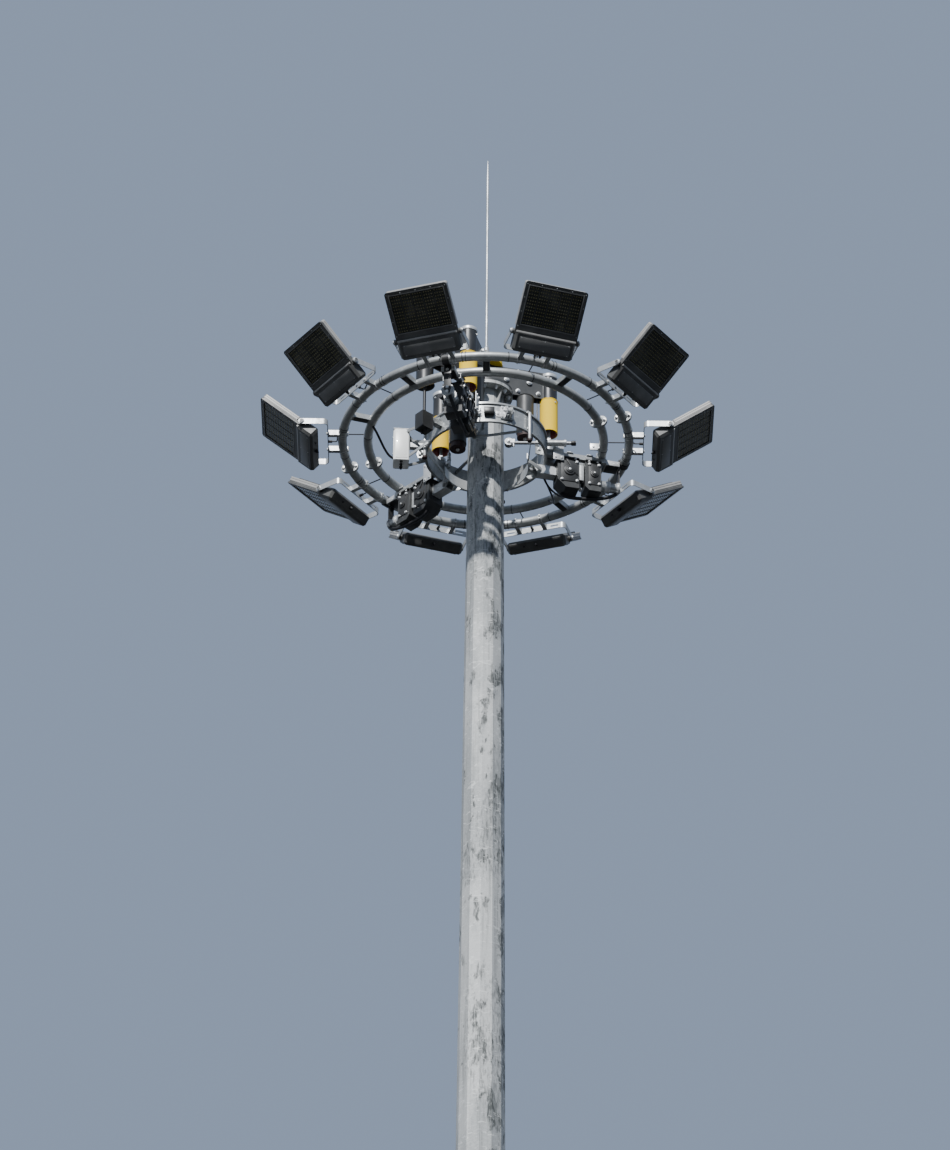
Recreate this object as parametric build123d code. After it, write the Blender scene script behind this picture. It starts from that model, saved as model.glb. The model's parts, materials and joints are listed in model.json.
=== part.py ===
from build123d import *
from math import atan2, cos, degrees, radians, tan
import os

os.makedirs("parts", exist_ok=True)

# Mast: a tapered twelve-sided steel pole in three slip-jointed sections
MAST_HEIGHT = 25000.0
MAST_SIDES = 12
FIRST_CORNER = -4.0
TOP_ACROSS_CORNERS = 250.0
TAPER_ACROSS_CORNERS = 0.012
UPPER_WALL = 5.0
MIDDLE_WALL = 6.0
LOWER_WALL = 8.0
SLIP_FIT = 1.0
UPPER_LENGTH = 8600.0
MIDDLE_LENGTH = 9000.0
SLIP_LAP = 650.0

# Base flange and its stiffeners
BASE_FLANGE_RADIUS = 430.0
BASE_FLANGE_THICKNESS = 40.0
BASE_BORE_RADIUS = 190.0
ANCHOR_CIRCLE_RADIUS = 360.0
ANCHOR_HOLE_RADIUS = 20.0
BASE_GUSSET_HEIGHT = 320.0
BASE_GUSSET_THICKNESS = 16.0
BASE_GUSSET_EDGE = 45.0
BASE_GUSSET_INSET = 25.0

# Service door near the foot
DOOR_FACET = 9
DOOR_WIDTH = 190.0
DOOR_HEIGHT = 860.0
DOOR_SILL = 620.0
DOOR_FRAME_WALL = 14.0
DOOR_FRAME_STAND_OUT = 34.0
DOOR_FRAME_DEPTH = 90.0
DOOR_THICKNESS = 6.0
DOOR_LAP = 22.0

# Head flange, head plate and their bolts
HEAD_PLATE_RADIUS = 190.0
TOP_FLANGE_THICKNESS = 24.0
HEAD_PLATE_THICKNESS = 20.0
HEAD_BOLT_CIRCLE_RADIUS = 160.0
HEAD_BOLT_HOLE_RADIUS = 9.0
HEAD_BOLTS = 12
TOP_GUSSET_HEIGHT = 110.0
TOP_GUSSET_THICKNESS = 8.0
TOP_GUSSET_EDGE = 14.0
HUB_RADIUS = 45.0
HUB_WALL = 6.0

# Head arms, rope sheaves, latch tubes and stop buffers
STATIONS = 3
STATION_ANGLE = 14.0
ARM_HEIGHT = 230.0
ARM_PLATE_THICKNESS = 8.0
ARM_GAP = 50.0
SHEAVE_GROOVE_RADIUS = 62.0
SHEAVE_RIM = 8.0
SHEAVE_WIDTH = 24.0
SHEAVE_PIN_RADIUS = 12.0
SHEAVE_BORE_GAP = 0.3
SHEAVE_RISE = 118.0
ROPE_RADIUS = 4.0
ROPE_INNER_REACH = 74.0
ROPE_OUTER_REACH = 375.0
ROPE_TAIL = 300.0
LATCH_REACH = 462.0
LATCH_TUBE_RADIUS = 59.0
LATCH_TUBE_WALL = 5.0
LATCH_TUBE_LOW = -240.0
LATCH_TUBE_HIGH = 240.0
LATCH_SLEEVE_WALL = 5.0
LATCH_SLEEVE_LOW = -262.0
LATCH_SLEEVE_HIGH = 20.0
BUFFER_REACH = 287.0
BUFFER_RADIUS = 62.0
BUFFER_WALL = 5.0
BUFFER_DROP = 310.0
BUFFER_PAD_THICKNESS = 40.0

# Cable arm
CABLE_ARM_ANGLE = 221.0
CABLE_REACH = 575.0
CABLE_BELL_RADIUS = 62.0
CABLE_BELL_WALL = 4.0
CABLE_BELL_LOW = -200.0
CABLE_BELL_FLARE = 10.0
CABLE_BELL_RISE = 30.0
CABLE_ARM_NOSE = 20.0
CABLE_RADIUS = 11.0
CABLE_INNER_REACH = 92.0
CABLE_SHEAVE_GROOVE_RADIUS = 72.0
CABLE_SHEAVE_WIDTH = 36.0
CABLE_ARM_START = 126.0

# Cap and lightning rod
CAP_RADIUS = 115.0
CAP_HEIGHT = 95.0
CAP_SKIRT = 30.0
ROD_RADIUS = 9.0
ROD_LENGTH = 1800.0
ROD_POINT = 160.0
ROD_SOCKET_RADIUS = 20.0
ROD_SOCKET_HEIGHT = 70.0

# Luminaire ring
RING_DROP = 420.0
RING_TUBE_RADIUS = 32.0
OUTER_RING_RADIUS = 1015.0
INNER_RING_RADIUS = 835.0
RING_SPLIT_ANGLE = -18.0
RING_END_PLATE = 10.0
RING_END_PLATE_WIDTH = 122.0
RING_END_PLATE_HEIGHT = 84.0
RING_END_BOLT_REACH = 46.0
RING_END_BOLT_RADIUS = 7.0
SPACER_ANGLES = (18.0, 54.0, 90.0, 126.0, 198.0, 234.0, 270.0, 306.0)
SPACER_WIDTH = 50.0
SPACER_HEIGHT = 40.0
SPACER_WALL = 4.0

# Guide band round the mast and the three stations that carry it
BAND_RADIUS = 422.5
BAND_THICKNESS = 8.0
BAND_LOW = -130.0
BAND_HIGH = 40.0
HOOP_HEIGHT = 14.0
HOOP_STAND_OUT = 12.0
HOOP_NOTCH = 1.0
BEAM_SIZE = 40.0
BEAM_WALL = 4.0
BEAM_OFFSET = 45.0
BEAM_TOP = -26.0
BEAM_OVERRUN = 33.0
SEAT_THICKNESS = 10.0
SEAT_END = 510.0
DRUM_BOX_LENGTH = 158.0
BRAKE_BOX_LENGTH = 118.0
CARRIAGE_GAP = 44.0
CARRIAGE_LINK_HEIGHT = 90.0
CARRIAGE_LINK_WIDTH = 60.0
CARRIAGE_DEPTH = 255.0
CARRIAGE_WALL = 8.0
CARRIAGE_CHAMFER = 60.0
CARRIAGE_LIP = 14.0
STUB_RADIUS = 36.0
STUB_WALL = 4.0
STUB_LENGTH = 145.0
STUB_DROP = -230.0
STUB_COLLAR = 8.0
STUB_COLLAR_LENGTH = 36.0
STUB_FLANGE_LENGTH = 12.0
POST_RADIUS = 36.0
POST_TOP = 90.0
HOOK_ROD_RADIUS = 11.0
HOOK_ROD_TOP = 330.0
HOOK_HEAD_RADIUS = 24.0
HOOK_HEAD_HEIGHT = 60.0
LUG_THICKNESS = 12.0
LUG_HEIGHT = 70.0
SOCKET_RADIUS = 12.0
SOCKET_HEIGHT = 60.0

# Guide plungers that follow the taper
GUIDE_ANGLE = 0.0
GUIDE_GAP = 6.0
ROLLER_RADIUS = 30.0
ROLLER_WIDTH = 40.0
ROLLER_PIN_RADIUS = 6.0
FORK_PLATE = 6.0
FORK_GAP = 1.5
GUIDE_ROD_RADIUS = 12.5
GUIDE_ROD_END = 628.0
GUIDE_CAP_LENGTH = 12.0
GUIDE_CAP_RADIUS = 17.0
GUIDE_BORE_GAP = 0.5
GUIDE_TUBE_RADIUS = 22.5
GUIDE_TUBE_END = 570.0
GUIDE_PLATE_WIDTH = 68.0
GUIDE_PLATE_LOW = -62.0
GUIDE_PLATE_HIGH = 22.0

# Floodlights on their yokes
FLOOD_TILTS = (34.0, 34.0, 37.0, 37.0, 36.0, 40.0, 40.0, 36.0, 43.0, 40.0)
PIVOT_STAND_OFF = 285.0
YOKE_WIDTH = 490.0
YOKE_DEPTH = 186.0
YOKE_BAR_HEIGHT = 45.0
YOKE_BAR_THICKNESS = 5.0
YOKE_BEND_RADIUS = 32.0
YOKE_SLOT_LENGTH = 60.0
YOKE_SLOT_WIDTH = 12.0
YOKE_SLOT_OFFSET = 165.0
YOKE_HOLE_RADIUS = 11.0
BLOCK_OFFSET = 95.0
BLOCK_WIDTH = 30.0
BLOCK_HEIGHT = 40.0
LAMP_WIDTH = 450.0
LAMP_WINDOW_LENGTH = 365.0
LAMP_BAND = 62.0
LAMP_LAP = 10.0
LAMP_BOX_LENGTH = 128.0
LAMP_FACE = -25.0
LAMP_RIM = 12.0
LAMP_RIM_STEP = 4.0
LAMP_RIDGE_RADIUS = 9.0
LAMP_PLATE_TOP = 0.0
LAMP_FIN_TOP = 42.0
LAMP_FINS = 11
LAMP_FIN_THICKNESS = 5.0
LAMP_BOX_LOW = -45.0
LAMP_BOX_TOP = 45.0
LAMP_BOX_SIDE_INSET = 6.0
LAMP_BOX_BEVEL = 16.0
LAMP_CORNER_RADIUS = 18.0
LAMP_BEZEL = 30.0
WINDOW_RECESS = 4.0
WINDOW_THICKNESS = 5.0
PIVOT_BOSS_RADIUS = 19.0
PIVOT_BOLT_RADIUS = 6.0
PIVOT_BOLT_HEAD = 9.0
PIVOT_GAP = 0.5

# Control box on the guide band
CONTROL_BOX_ANGLE = 183.0
CONTROL_BOX_REACH = 598.0
CONTROL_BOX_DEPTH = 110.0
CONTROL_BOX_WIDTH = 120.0
CONTROL_BOX_HEIGHT = 265.0
CONTROL_BOX_LOW = -215.0
CONTROL_BOX_EDGE = 8.0
CABLE_BOX_LENGTH = 95.0
CABLE_BOX_WIDTH = 85.0
CABLE_BOX_LOW = -170.0
CABLE_BOX_HIGH = -35.0
CABLE_GLAND_HEIGHT = 26.0
CABLE_GLAND_WALL = 7.0
CABLE_GLAND_GAP = 0.5

# Leads from the inner ring to the floodlights
LEAD_RADIUS = 4.5
LEAD_BEND = 14.0
LEAD_SIDE = 38.0
LEAD_GLAND_RADIUS = 10.0
LEAD_GLAND_LENGTH = 26.0

# Levels worked out from the sizes above
HALF_SIDE = 180.0 / MAST_SIDES
FLAT_RATIO = cos(radians(HALF_SIDE))
HEAD_TOP = MAST_HEIGHT + HEAD_PLATE_THICKNESS
ARM_TOP = HEAD_TOP + ARM_HEIGHT
SHEAVE_LEVEL = HEAD_TOP + SHEAVE_RISE
ROPE_BEND = SHEAVE_GROOVE_RADIUS + ROPE_RADIUS
CABLE_BEND = CABLE_SHEAVE_GROOVE_RADIUS + CABLE_RADIUS
RING_LEVEL = MAST_HEIGHT - RING_DROP
TOP_FLANGE_UNDERSIDE = MAST_HEIGHT - TOP_FLANGE_THICKNESS
UPPER_LOW = TOP_FLANGE_UNDERSIDE - UPPER_LENGTH
MIDDLE_HIGH = UPPER_LOW + SLIP_LAP
MIDDLE_LOW = MIDDLE_HIGH - MIDDLE_LENGTH
LOWER_HIGH = MIDDLE_LOW + SLIP_LAP
MIDDLE_INSET = UPPER_WALL + SLIP_FIT
LOWER_INSET = MIDDLE_INSET + MIDDLE_WALL + SLIP_FIT
PIVOT_REACH = OUTER_RING_RADIUS + PIVOT_STAND_OFF
BEAM_END = INNER_RING_RADIUS + BEAM_OVERRUN
CARRIAGE_FAR = SEAT_END + DRUM_BOX_LENGTH + CARRIAGE_GAP + BRAKE_BOX_LENGTH
STATION_WIDTH = 2 * BEAM_OFFSET + BEAM_SIZE
STATION_ANGLES = [STATION_ANGLE + 360.0 / STATIONS * i for i in range(STATIONS)]
GUIDE_ANGLES = [GUIDE_ANGLE + 360.0 / STATIONS * i for i in range(STATIONS)]
FLOOD_ANGLES = [360.0 / len(FLOOD_TILTS) * i for i in range(len(FLOOD_TILTS))]
FACET_ANGLES = [FIRST_CORNER + HALF_SIDE + 2 * HALF_SIDE * i for i in range(MAST_SIDES)]
CORNER_ANGLES = [FIRST_CORNER + 2 * HALF_SIDE * i for i in range(MAST_SIDES)]
OPEN_LENGTH = 2000.0


def save(name, shape):
    """Write one node's shape to its own file."""
    export_step(shape, f"parts/{name}.step")


def turned(shape, angle):
    """Turn a shape about the mast's axis."""
    return Rot(0, 0, angle) * shape


def around(shape, angles):
    """Repeat a shape about the mast's axis as separate solids."""
    return Compound([turned(shape, angle) for angle in angles])


def block(x_low, x_high, width, z_low, z_high, y=0.0):
    """Box from its radial, tangential and height limits."""
    box = Box(x_high - x_low, width, z_high - z_low)
    return Pos((x_low + x_high) / 2, y, (z_low + z_high) / 2) * box


def drum(radius, z_low, z_high, x=0.0, y=0.0):
    """Upright cylinder from its height limits."""
    return Pos(x, y, (z_low + z_high) / 2) * Cylinder(radius, z_high - z_low)


def pipe(radius, wall, z_low, z_high, x=0.0, y=0.0):
    """Upright round tube."""
    return drum(radius, z_low, z_high, x, y) - drum(radius - wall, z_low, z_high, x, y)


def radial_drum(radius, x_low, x_high, z, y=0.0):
    """Cylinder whose axis runs outward from the mast."""
    return Pos((x_low + x_high) / 2, y, z) * Rot(0, 90, 0) * Cylinder(radius, x_high - x_low)


def cross_drum(radius, width, x, z, y=0.0):
    """Cylinder whose axis runs across the radial direction."""
    return Pos(x, y, z) * Rot(90, 0, 0) * Cylinder(radius, width)


def upright_plate(points, thickness, y=0.0):
    """Plate standing in the radial plane, from its outline in reach and height."""
    outline = Plane.XZ * make_face(Polyline(*points, close=True))
    return Pos(0, y, 0) * extrude(outline, thickness / 2, both=True)


def ring_torus(radius):
    """Solid round bar bent into a full ring at the ring level."""
    return Pos(0, 0, RING_LEVEL) * Torus(radius, RING_TUBE_RADIUS)


def mast_corner(z, inset=0.0):
    """Corner radius of the tapered mast at a height, inset square to its facets."""
    line = TOP_ACROSS_CORNERS / 2 + TAPER_ACROSS_CORNERS / 2 * (MAST_HEIGHT - z)
    return line - inset / FLAT_RATIO


def mast_flat(z, inset=0.0):
    """Distance from the axis to a facet of the mast at a height."""
    return mast_corner(z, inset) * FLAT_RATIO


def mast_solid(z_low, z_high, inset):
    """Tapered polygonal solid between two heights."""
    ends = [
        Plane.XY.offset(z) * RegularPolygon(mast_corner(z, inset), MAST_SIDES, rotation=FIRST_CORNER)
        for z in (z_low, z_high)
    ]
    return loft(ends)


def mast_shell(z_low, z_high, inset, wall):
    """Tapered polygonal tube with a wall of even thickness."""
    return mast_solid(z_low, z_high, inset) - mast_solid(z_low, z_high, inset + wall)


def obround(width, height):
    """Upright slot outline in the plane that faces along the radial direction."""
    return Plane.YZ * Rot(0, 0, 90) * SlotOverall(height, width)


def door_prism(growth, x_low, x_high):
    """Obround block through the door's place, grown on every side."""
    centre = DOOR_SILL + DOOR_HEIGHT / 2
    outline = obround(DOOR_WIDTH + 2 * growth, DOOR_HEIGHT + 2 * growth)
    return Pos(x_low, 0, centre) * extrude(outline, x_high - x_low)


def build_mast():
    """Three pole sections, the lower one opened for its door."""
    save("pole_upper_section", mast_shell(UPPER_LOW, TOP_FLANGE_UNDERSIDE, 0.0, UPPER_WALL))
    save("pole_middle_section", mast_shell(MIDDLE_LOW, MIDDLE_HIGH, MIDDLE_INSET, MIDDLE_WALL))
    lower = mast_shell(BASE_FLANGE_THICKNESS, LOWER_HIGH, LOWER_INSET, LOWER_WALL)
    door_angle = FACET_ANGLES[DOOR_FACET]
    face = mast_flat(DOOR_SILL, LOWER_INSET) + DOOR_FRAME_STAND_OUT
    back = face - DOOR_FRAME_DEPTH
    lower -= turned(door_prism(DOOR_FRAME_WALL, back, face), door_angle)
    frame = door_prism(DOOR_FRAME_WALL, back, face) - door_prism(0.0, back, face)
    lower += turned(frame, door_angle)
    save("pole_lower_section", lower)
    door = door_prism(DOOR_LAP, face, face + DOOR_THICKNESS)
    save("service_door", turned(door, door_angle))


def build_base():
    """Anchor flange with stiffeners between the bolt holes."""
    flange = pipe(BASE_FLANGE_RADIUS, BASE_FLANGE_RADIUS - BASE_BORE_RADIUS, 0.0, BASE_FLANGE_THICKNESS)
    for angle in CORNER_ANGLES:
        flange -= turned(
            drum(ANCHOR_HOLE_RADIUS, 0.0, BASE_FLANGE_THICKNESS, ANCHOR_CIRCLE_RADIUS), angle
        )
    low = BASE_FLANGE_THICKNESS
    high = low + BASE_GUSSET_HEIGHT
    outer = BASE_FLANGE_RADIUS - BASE_GUSSET_INSET
    top_edge = mast_flat(high, LOWER_INSET)
    outline = (
        (mast_flat(low, LOWER_INSET), low),
        (outer, low),
        (outer, low + BASE_GUSSET_EDGE),
        (top_edge + BASE_GUSSET_EDGE / 2, high),
        (top_edge, high),
    )
    gusset = upright_plate(outline, BASE_GUSSET_THICKNESS)
    for angle in FACET_ANGLES:
        flange += turned(gusset, angle)
    save("base_flange", flange)


def build_head_flange():
    """Flange welded on the pole's top, with small stiffeners, and the plate bolted on it."""
    bolt_angles = [360.0 / HEAD_BOLTS * (i + 0.5) + FIRST_CORNER + HALF_SIDE for i in range(HEAD_BOLTS)]
    flange = drum(HEAD_PLATE_RADIUS, TOP_FLANGE_UNDERSIDE, MAST_HEIGHT)
    flange -= mast_solid(TOP_FLANGE_UNDERSIDE, MAST_HEIGHT, UPPER_WALL)
    plate = drum(HEAD_PLATE_RADIUS, MAST_HEIGHT, HEAD_TOP)
    for angle in bolt_angles:
        hole = drum(HEAD_BOLT_HOLE_RADIUS, TOP_FLANGE_UNDERSIDE, HEAD_TOP, HEAD_BOLT_CIRCLE_RADIUS)
        flange -= turned(hole, angle)
        plate -= turned(hole, angle)
    for angle in STATION_ANGLES:
        plate -= turned(drum(3 * ROPE_RADIUS, MAST_HEIGHT, HEAD_TOP, ROPE_INNER_REACH), angle)
    plate -= turned(drum(2 * CABLE_RADIUS, MAST_HEIGHT, HEAD_TOP, CABLE_INNER_REACH), CABLE_ARM_ANGLE)
    save("head_plate", plate)
    high = TOP_FLANGE_UNDERSIDE
    low = high - TOP_GUSSET_HEIGHT
    outer = HEAD_PLATE_RADIUS - TOP_GUSSET_EDGE
    outline = (
        (mast_flat(high), high),
        (outer, high),
        (outer, high - TOP_GUSSET_EDGE),
        (mast_flat(low) + TOP_GUSSET_EDGE, low),
        (mast_flat(low), low),
    )
    gusset = upright_plate(outline, TOP_GUSSET_THICKNESS)
    for angle in FACET_ANGLES[::2]:
        flange += turned(gusset, angle)
    save("top_flange", flange)


def sheave_centres(bend, inner_reach, outer_reach):
    """Reach of the two sheave centres that lead a rope from one fall to the other."""
    return inner_reach + bend, outer_reach - bend


def sheave(groove_radius, rope_radius, width):
    """Grooved wheel with its bore, turned from its half section and set on edge."""
    rim = groove_radius + SHEAVE_RIM
    half = width / 2
    section = Polyline(
        (SHEAVE_PIN_RADIUS + SHEAVE_BORE_GAP, -half),
        (rim, -half),
        (rim, -half / 2 - rope_radius / 2),
        (groove_radius, -rope_radius),
        (groove_radius, rope_radius),
        (rim, half / 2 + rope_radius / 2),
        (rim, half),
        (SHEAVE_PIN_RADIUS + SHEAVE_BORE_GAP, half),
        close=True,
    )
    return Rot(90, 0, 0) * revolve(Plane.XZ * make_face(section), Axis.Z)


def arm_plates(start, end, tube, centres):
    """Paired plates that carry a tube at their ends, tied by the sheave pins."""
    offset = (ARM_GAP + ARM_PLATE_THICKNESS) / 2
    arm = block(start, end, ARM_PLATE_THICKNESS, HEAD_TOP, ARM_TOP, -offset)
    arm += block(start, end, ARM_PLATE_THICKNESS, HEAD_TOP, ARM_TOP, offset)
    arm -= tube
    for centre in centres:
        arm += cross_drum(SHEAVE_PIN_RADIUS, ARM_GAP + 4 * ARM_PLATE_THICKNESS, centre, SHEAVE_LEVEL)
    return arm


def build_head_frame():
    """Hub tube with the three rope arms and the cable arm welded round it."""
    frame = pipe(HUB_RADIUS, HUB_WALL, HEAD_TOP, ARM_TOP)
    rope_centres = sheave_centres(ROPE_BEND, ROPE_INNER_REACH, ROPE_OUTER_REACH)
    latch = drum(LATCH_TUBE_RADIUS, HEAD_TOP, ARM_TOP, LATCH_REACH)
    arm = arm_plates(0.0, LATCH_REACH, latch, rope_centres) - drum(HUB_RADIUS, HEAD_TOP, ARM_TOP)
    for angle in STATION_ANGLES:
        frame += turned(arm, angle)
    cable_centres = sheave_centres(CABLE_BEND, CABLE_INNER_REACH, CABLE_REACH)
    bell = drum(CABLE_BELL_RADIUS, HEAD_TOP, HEAD_TOP + CABLE_BELL_RISE, CABLE_REACH)
    cable_arm = arm_plates(CABLE_ARM_START, CABLE_REACH + CABLE_ARM_NOSE, bell, cable_centres)
    save("head_frame", Compound(frame.solids() + [turned(cable_arm, CABLE_ARM_ANGLE)]))
    wheel = sheave(SHEAVE_GROOVE_RADIUS, ROPE_RADIUS, SHEAVE_WIDTH)
    cable_wheel = sheave(CABLE_SHEAVE_GROOVE_RADIUS, CABLE_RADIUS, CABLE_SHEAVE_WIDTH)
    wheels = [
        turned(Pos(centre, 0, SHEAVE_LEVEL) * wheel, angle)
        for angle in STATION_ANGLES
        for centre in rope_centres
    ]
    wheels += [
        turned(Pos(centre, 0, SHEAVE_LEVEL) * cable_wheel, CABLE_ARM_ANGLE) for centre in cable_centres
    ]
    save("head_sheaves", Compound(wheels))


def line_over_sheaves(radius, bend, inner_reach, outer_reach):
    """Rope from inside the pole over two sheaves to its outer fall."""
    crown = SHEAVE_LEVEL + bend
    path = Plane.XZ * FilletPolyline(
        (inner_reach, MAST_HEIGHT - ROPE_TAIL),
        (inner_reach, crown),
        (outer_reach, crown),
        (outer_reach, MAST_HEIGHT),
        radius=bend,
    )
    start = Plane(origin=path @ 0, z_dir=path % 0)
    return sweep(start * Circle(radius), path)


def build_head_ropes():
    """Hoist ropes and supply cable where they pass over the head."""
    rope = line_over_sheaves(ROPE_RADIUS, ROPE_BEND, ROPE_INNER_REACH, ROPE_OUTER_REACH)
    save("head_ropes", around(rope, STATION_ANGLES))
    cable = line_over_sheaves(CABLE_RADIUS, CABLE_BEND, CABLE_INNER_REACH, CABLE_REACH)
    save("head_cable", turned(cable, CABLE_ARM_ANGLE))


def build_latches():
    """Latch tubes with their guide sleeves, and the stop buffers beside them."""
    tube = pipe(
        LATCH_TUBE_RADIUS, LATCH_TUBE_WALL, MAST_HEIGHT + LATCH_TUBE_LOW, MAST_HEIGHT + LATCH_TUBE_HIGH,
        LATCH_REACH,
    )
    save("latch_tubes", around(tube, STATION_ANGLES))
    sleeve = pipe(
        LATCH_TUBE_RADIUS + LATCH_SLEEVE_WALL, LATCH_SLEEVE_WALL, MAST_HEIGHT + LATCH_SLEEVE_LOW,
        MAST_HEIGHT + LATCH_SLEEVE_HIGH, LATCH_REACH,
    )
    save("latch_sleeves", around(sleeve, STATION_ANGLES))
    low = HEAD_TOP - BUFFER_DROP
    buffer = drum(BUFFER_RADIUS, low, HEAD_TOP, BUFFER_REACH)
    buffer -= drum(BUFFER_RADIUS - BUFFER_WALL, low + BUFFER_WALL, HEAD_TOP - BUFFER_WALL, BUFFER_REACH)
    save("stop_buffers", around(buffer, STATION_ANGLES))
    pad = drum(BUFFER_RADIUS - BUFFER_WALL, low - BUFFER_PAD_THICKNESS, low, BUFFER_REACH)
    save("buffer_pads", around(pad, STATION_ANGLES))


def build_cable_bell():
    """Bell-mouthed tube that leads the supply cable down towards the ring."""
    low = MAST_HEIGHT + CABLE_BELL_LOW
    high = HEAD_TOP + CABLE_BELL_RISE
    flare = CABLE_BELL_RADIUS + CABLE_BELL_FLARE
    section = Polyline(
        (CABLE_BELL_RADIUS - CABLE_BELL_WALL, high),
        (CABLE_BELL_RADIUS, high),
        (CABLE_BELL_RADIUS, low + 2 * CABLE_BELL_FLARE),
        (flare, low),
        (flare - CABLE_BELL_WALL, low),
        (CABLE_BELL_RADIUS - CABLE_BELL_WALL, low + 2 * CABLE_BELL_FLARE),
        close=True,
    )
    bell = Pos(CABLE_REACH, 0, 0) * revolve(Plane.XZ * make_face(section), Axis.Z)
    save("cable_bell", turned(bell, CABLE_ARM_ANGLE))


def build_cap_and_rod():
    """Domed cap over the hub and the lightning rod on it."""
    crown = ARM_TOP + CAP_HEIGHT
    shoulder = ARM_TOP + CAP_SKIRT
    rise = CAP_HEIGHT - CAP_SKIRT
    dome_radius = (CAP_RADIUS**2 + rise**2) / (2 * rise)
    start = degrees(atan2(dome_radius - rise, CAP_RADIUS))
    outline = [
        Line((0, ARM_TOP), (CAP_RADIUS, ARM_TOP)),
        Line((CAP_RADIUS, ARM_TOP), (CAP_RADIUS, shoulder)),
        CenterArc((0, crown - dome_radius), dome_radius, start, 90 - start),
        Line((0, crown), (0, ARM_TOP)),
    ]
    dome = revolve(Plane.XZ * make_face(outline), Axis.Z)
    save("head_cap", dome - drum(ROD_SOCKET_RADIUS, ARM_TOP, crown))
    socket_top = crown + ROD_SOCKET_HEIGHT
    tip = socket_top + ROD_LENGTH - ROD_SOCKET_HEIGHT
    rod_outline = Polyline(
        (0, ARM_TOP),
        (ROD_SOCKET_RADIUS, ARM_TOP),
        (ROD_SOCKET_RADIUS, socket_top),
        (ROD_RADIUS, socket_top),
        (ROD_RADIUS, tip - ROD_POINT),
        (ROD_RADIUS / 4, tip),
        (0, tip),
        close=True,
    )
    save("lightning_rod", revolve(Plane.XZ * make_face(rod_outline), Axis.Z))


def ring_half(radius, start):
    """Half a ring with a bolting plate welded on each end."""
    plate_turn = degrees(RING_END_PLATE / radius)
    arc = Torus(radius, RING_TUBE_RADIUS, major_angle=180 - 2 * plate_turn, align=None)
    half = turned(Pos(0, 0, RING_LEVEL) * arc, plate_turn)
    outline = SlotOverall(RING_END_PLATE_WIDTH, RING_END_PLATE_HEIGHT)
    for side in (-1, 1):
        outline -= Pos(side * RING_END_BOLT_REACH, 0) * Circle(RING_END_BOLT_RADIUS)
    plate = extrude(Plane.XZ * outline, -RING_END_PLATE)
    first = Pos(radius, 0, RING_LEVEL) * plate
    last = Pos(-radius, 0, RING_LEVEL) * plate
    return turned(half + first + last, start)


def build_rings():
    """Outer and inner rings, each in two bolted halves, and the bars between them."""
    halves = {"a": RING_SPLIT_ANGLE, "b": RING_SPLIT_ANGLE + 180.0}
    for name, start in halves.items():
        save(f"outer_ring_half_{name}", ring_half(OUTER_RING_RADIUS, start))
        save(f"inner_ring_half_{name}", ring_half(INNER_RING_RADIUS, start))
    low = RING_LEVEL - SPACER_HEIGHT / 2
    bar = block(INNER_RING_RADIUS, OUTER_RING_RADIUS, SPACER_WIDTH, low, low + SPACER_HEIGHT)
    bar -= block(
        INNER_RING_RADIUS, OUTER_RING_RADIUS, SPACER_WIDTH - 2 * SPACER_WALL,
        low + SPACER_WALL, low + SPACER_HEIGHT - SPACER_WALL,
    )
    bar -= ring_torus(INNER_RING_RADIUS)
    bar -= ring_torus(OUTER_RING_RADIUS)
    save("ring_spacers", around(bar, SPACER_ANGLES))


def build_band():
    """Rolled band round the mast with a rope lug and socket at each station."""
    low = RING_LEVEL + BAND_LOW
    high = RING_LEVEL + BAND_HIGH
    band = pipe(BAND_RADIUS, BAND_THICKNESS, low, high)
    inner = BAND_RADIUS - BAND_THICKNESS
    for hoop_low in (low, high - HOOP_HEIGHT):
        band += pipe(
            BAND_RADIUS + HOOP_STAND_OUT, HOOP_STAND_OUT + BAND_THICKNESS, hoop_low, hoop_low + HOOP_HEIGHT
        )
    for angle in STATION_ANGLES:
        band -= turned(drum(POST_RADIUS + HOOP_NOTCH, high - HOOP_HEIGHT, high, LATCH_REACH), angle)
    bore = radial_drum(GUIDE_ROD_RADIUS + GUIDE_BORE_GAP, inner - BAND_THICKNESS, BAND_RADIUS, RING_LEVEL)
    for angle in GUIDE_ANGLES:
        band -= turned(bore, angle)
    lug = block(ROPE_OUTER_REACH - SOCKET_RADIUS, BAND_RADIUS, LUG_THICKNESS, high - LUG_HEIGHT, high)
    lug &= drum(inner, low, high)
    lug += drum(SOCKET_RADIUS, high, high + SOCKET_HEIGHT, ROPE_OUTER_REACH)
    for angle in STATION_ANGLES:
        band += turned(lug, angle)
    save("guide_band", band)


def build_stations():
    """Welded frames, carriage boxes, stubs and hook rods of the three stations."""
    top = RING_LEVEL + BEAM_TOP
    low = top - BEAM_SIZE
    hollow = BEAM_SIZE - 2 * BEAM_WALL
    seat = top + SEAT_THICKNESS
    frame = block(0.0, SEAT_END, STATION_WIDTH, top, seat)
    for side in (-BEAM_OFFSET, BEAM_OFFSET):
        beam = block(0.0, BEAM_END, BEAM_SIZE, low, top, side)
        frame += beam - block(0.0, BEAM_END, hollow, low + BEAM_WALL, top - BEAM_WALL, side)
    frame += drum(POST_RADIUS, seat, RING_LEVEL + POST_TOP, LATCH_REACH)
    frame -= ring_torus(INNER_RING_RADIUS)
    frame -= drum(BAND_RADIUS, RING_LEVEL + BAND_LOW, RING_LEVEL + BAND_HIGH)
    save("station_frames", around(frame, STATION_ANGLES))
    save("station_carriages", around(carriage(low), STATION_ANGLES))
    save("station_stubs", around(stub(RING_LEVEL + STUB_DROP), STATION_ANGLES))
    build_hook_rods(RING_LEVEL + POST_TOP)


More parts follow.
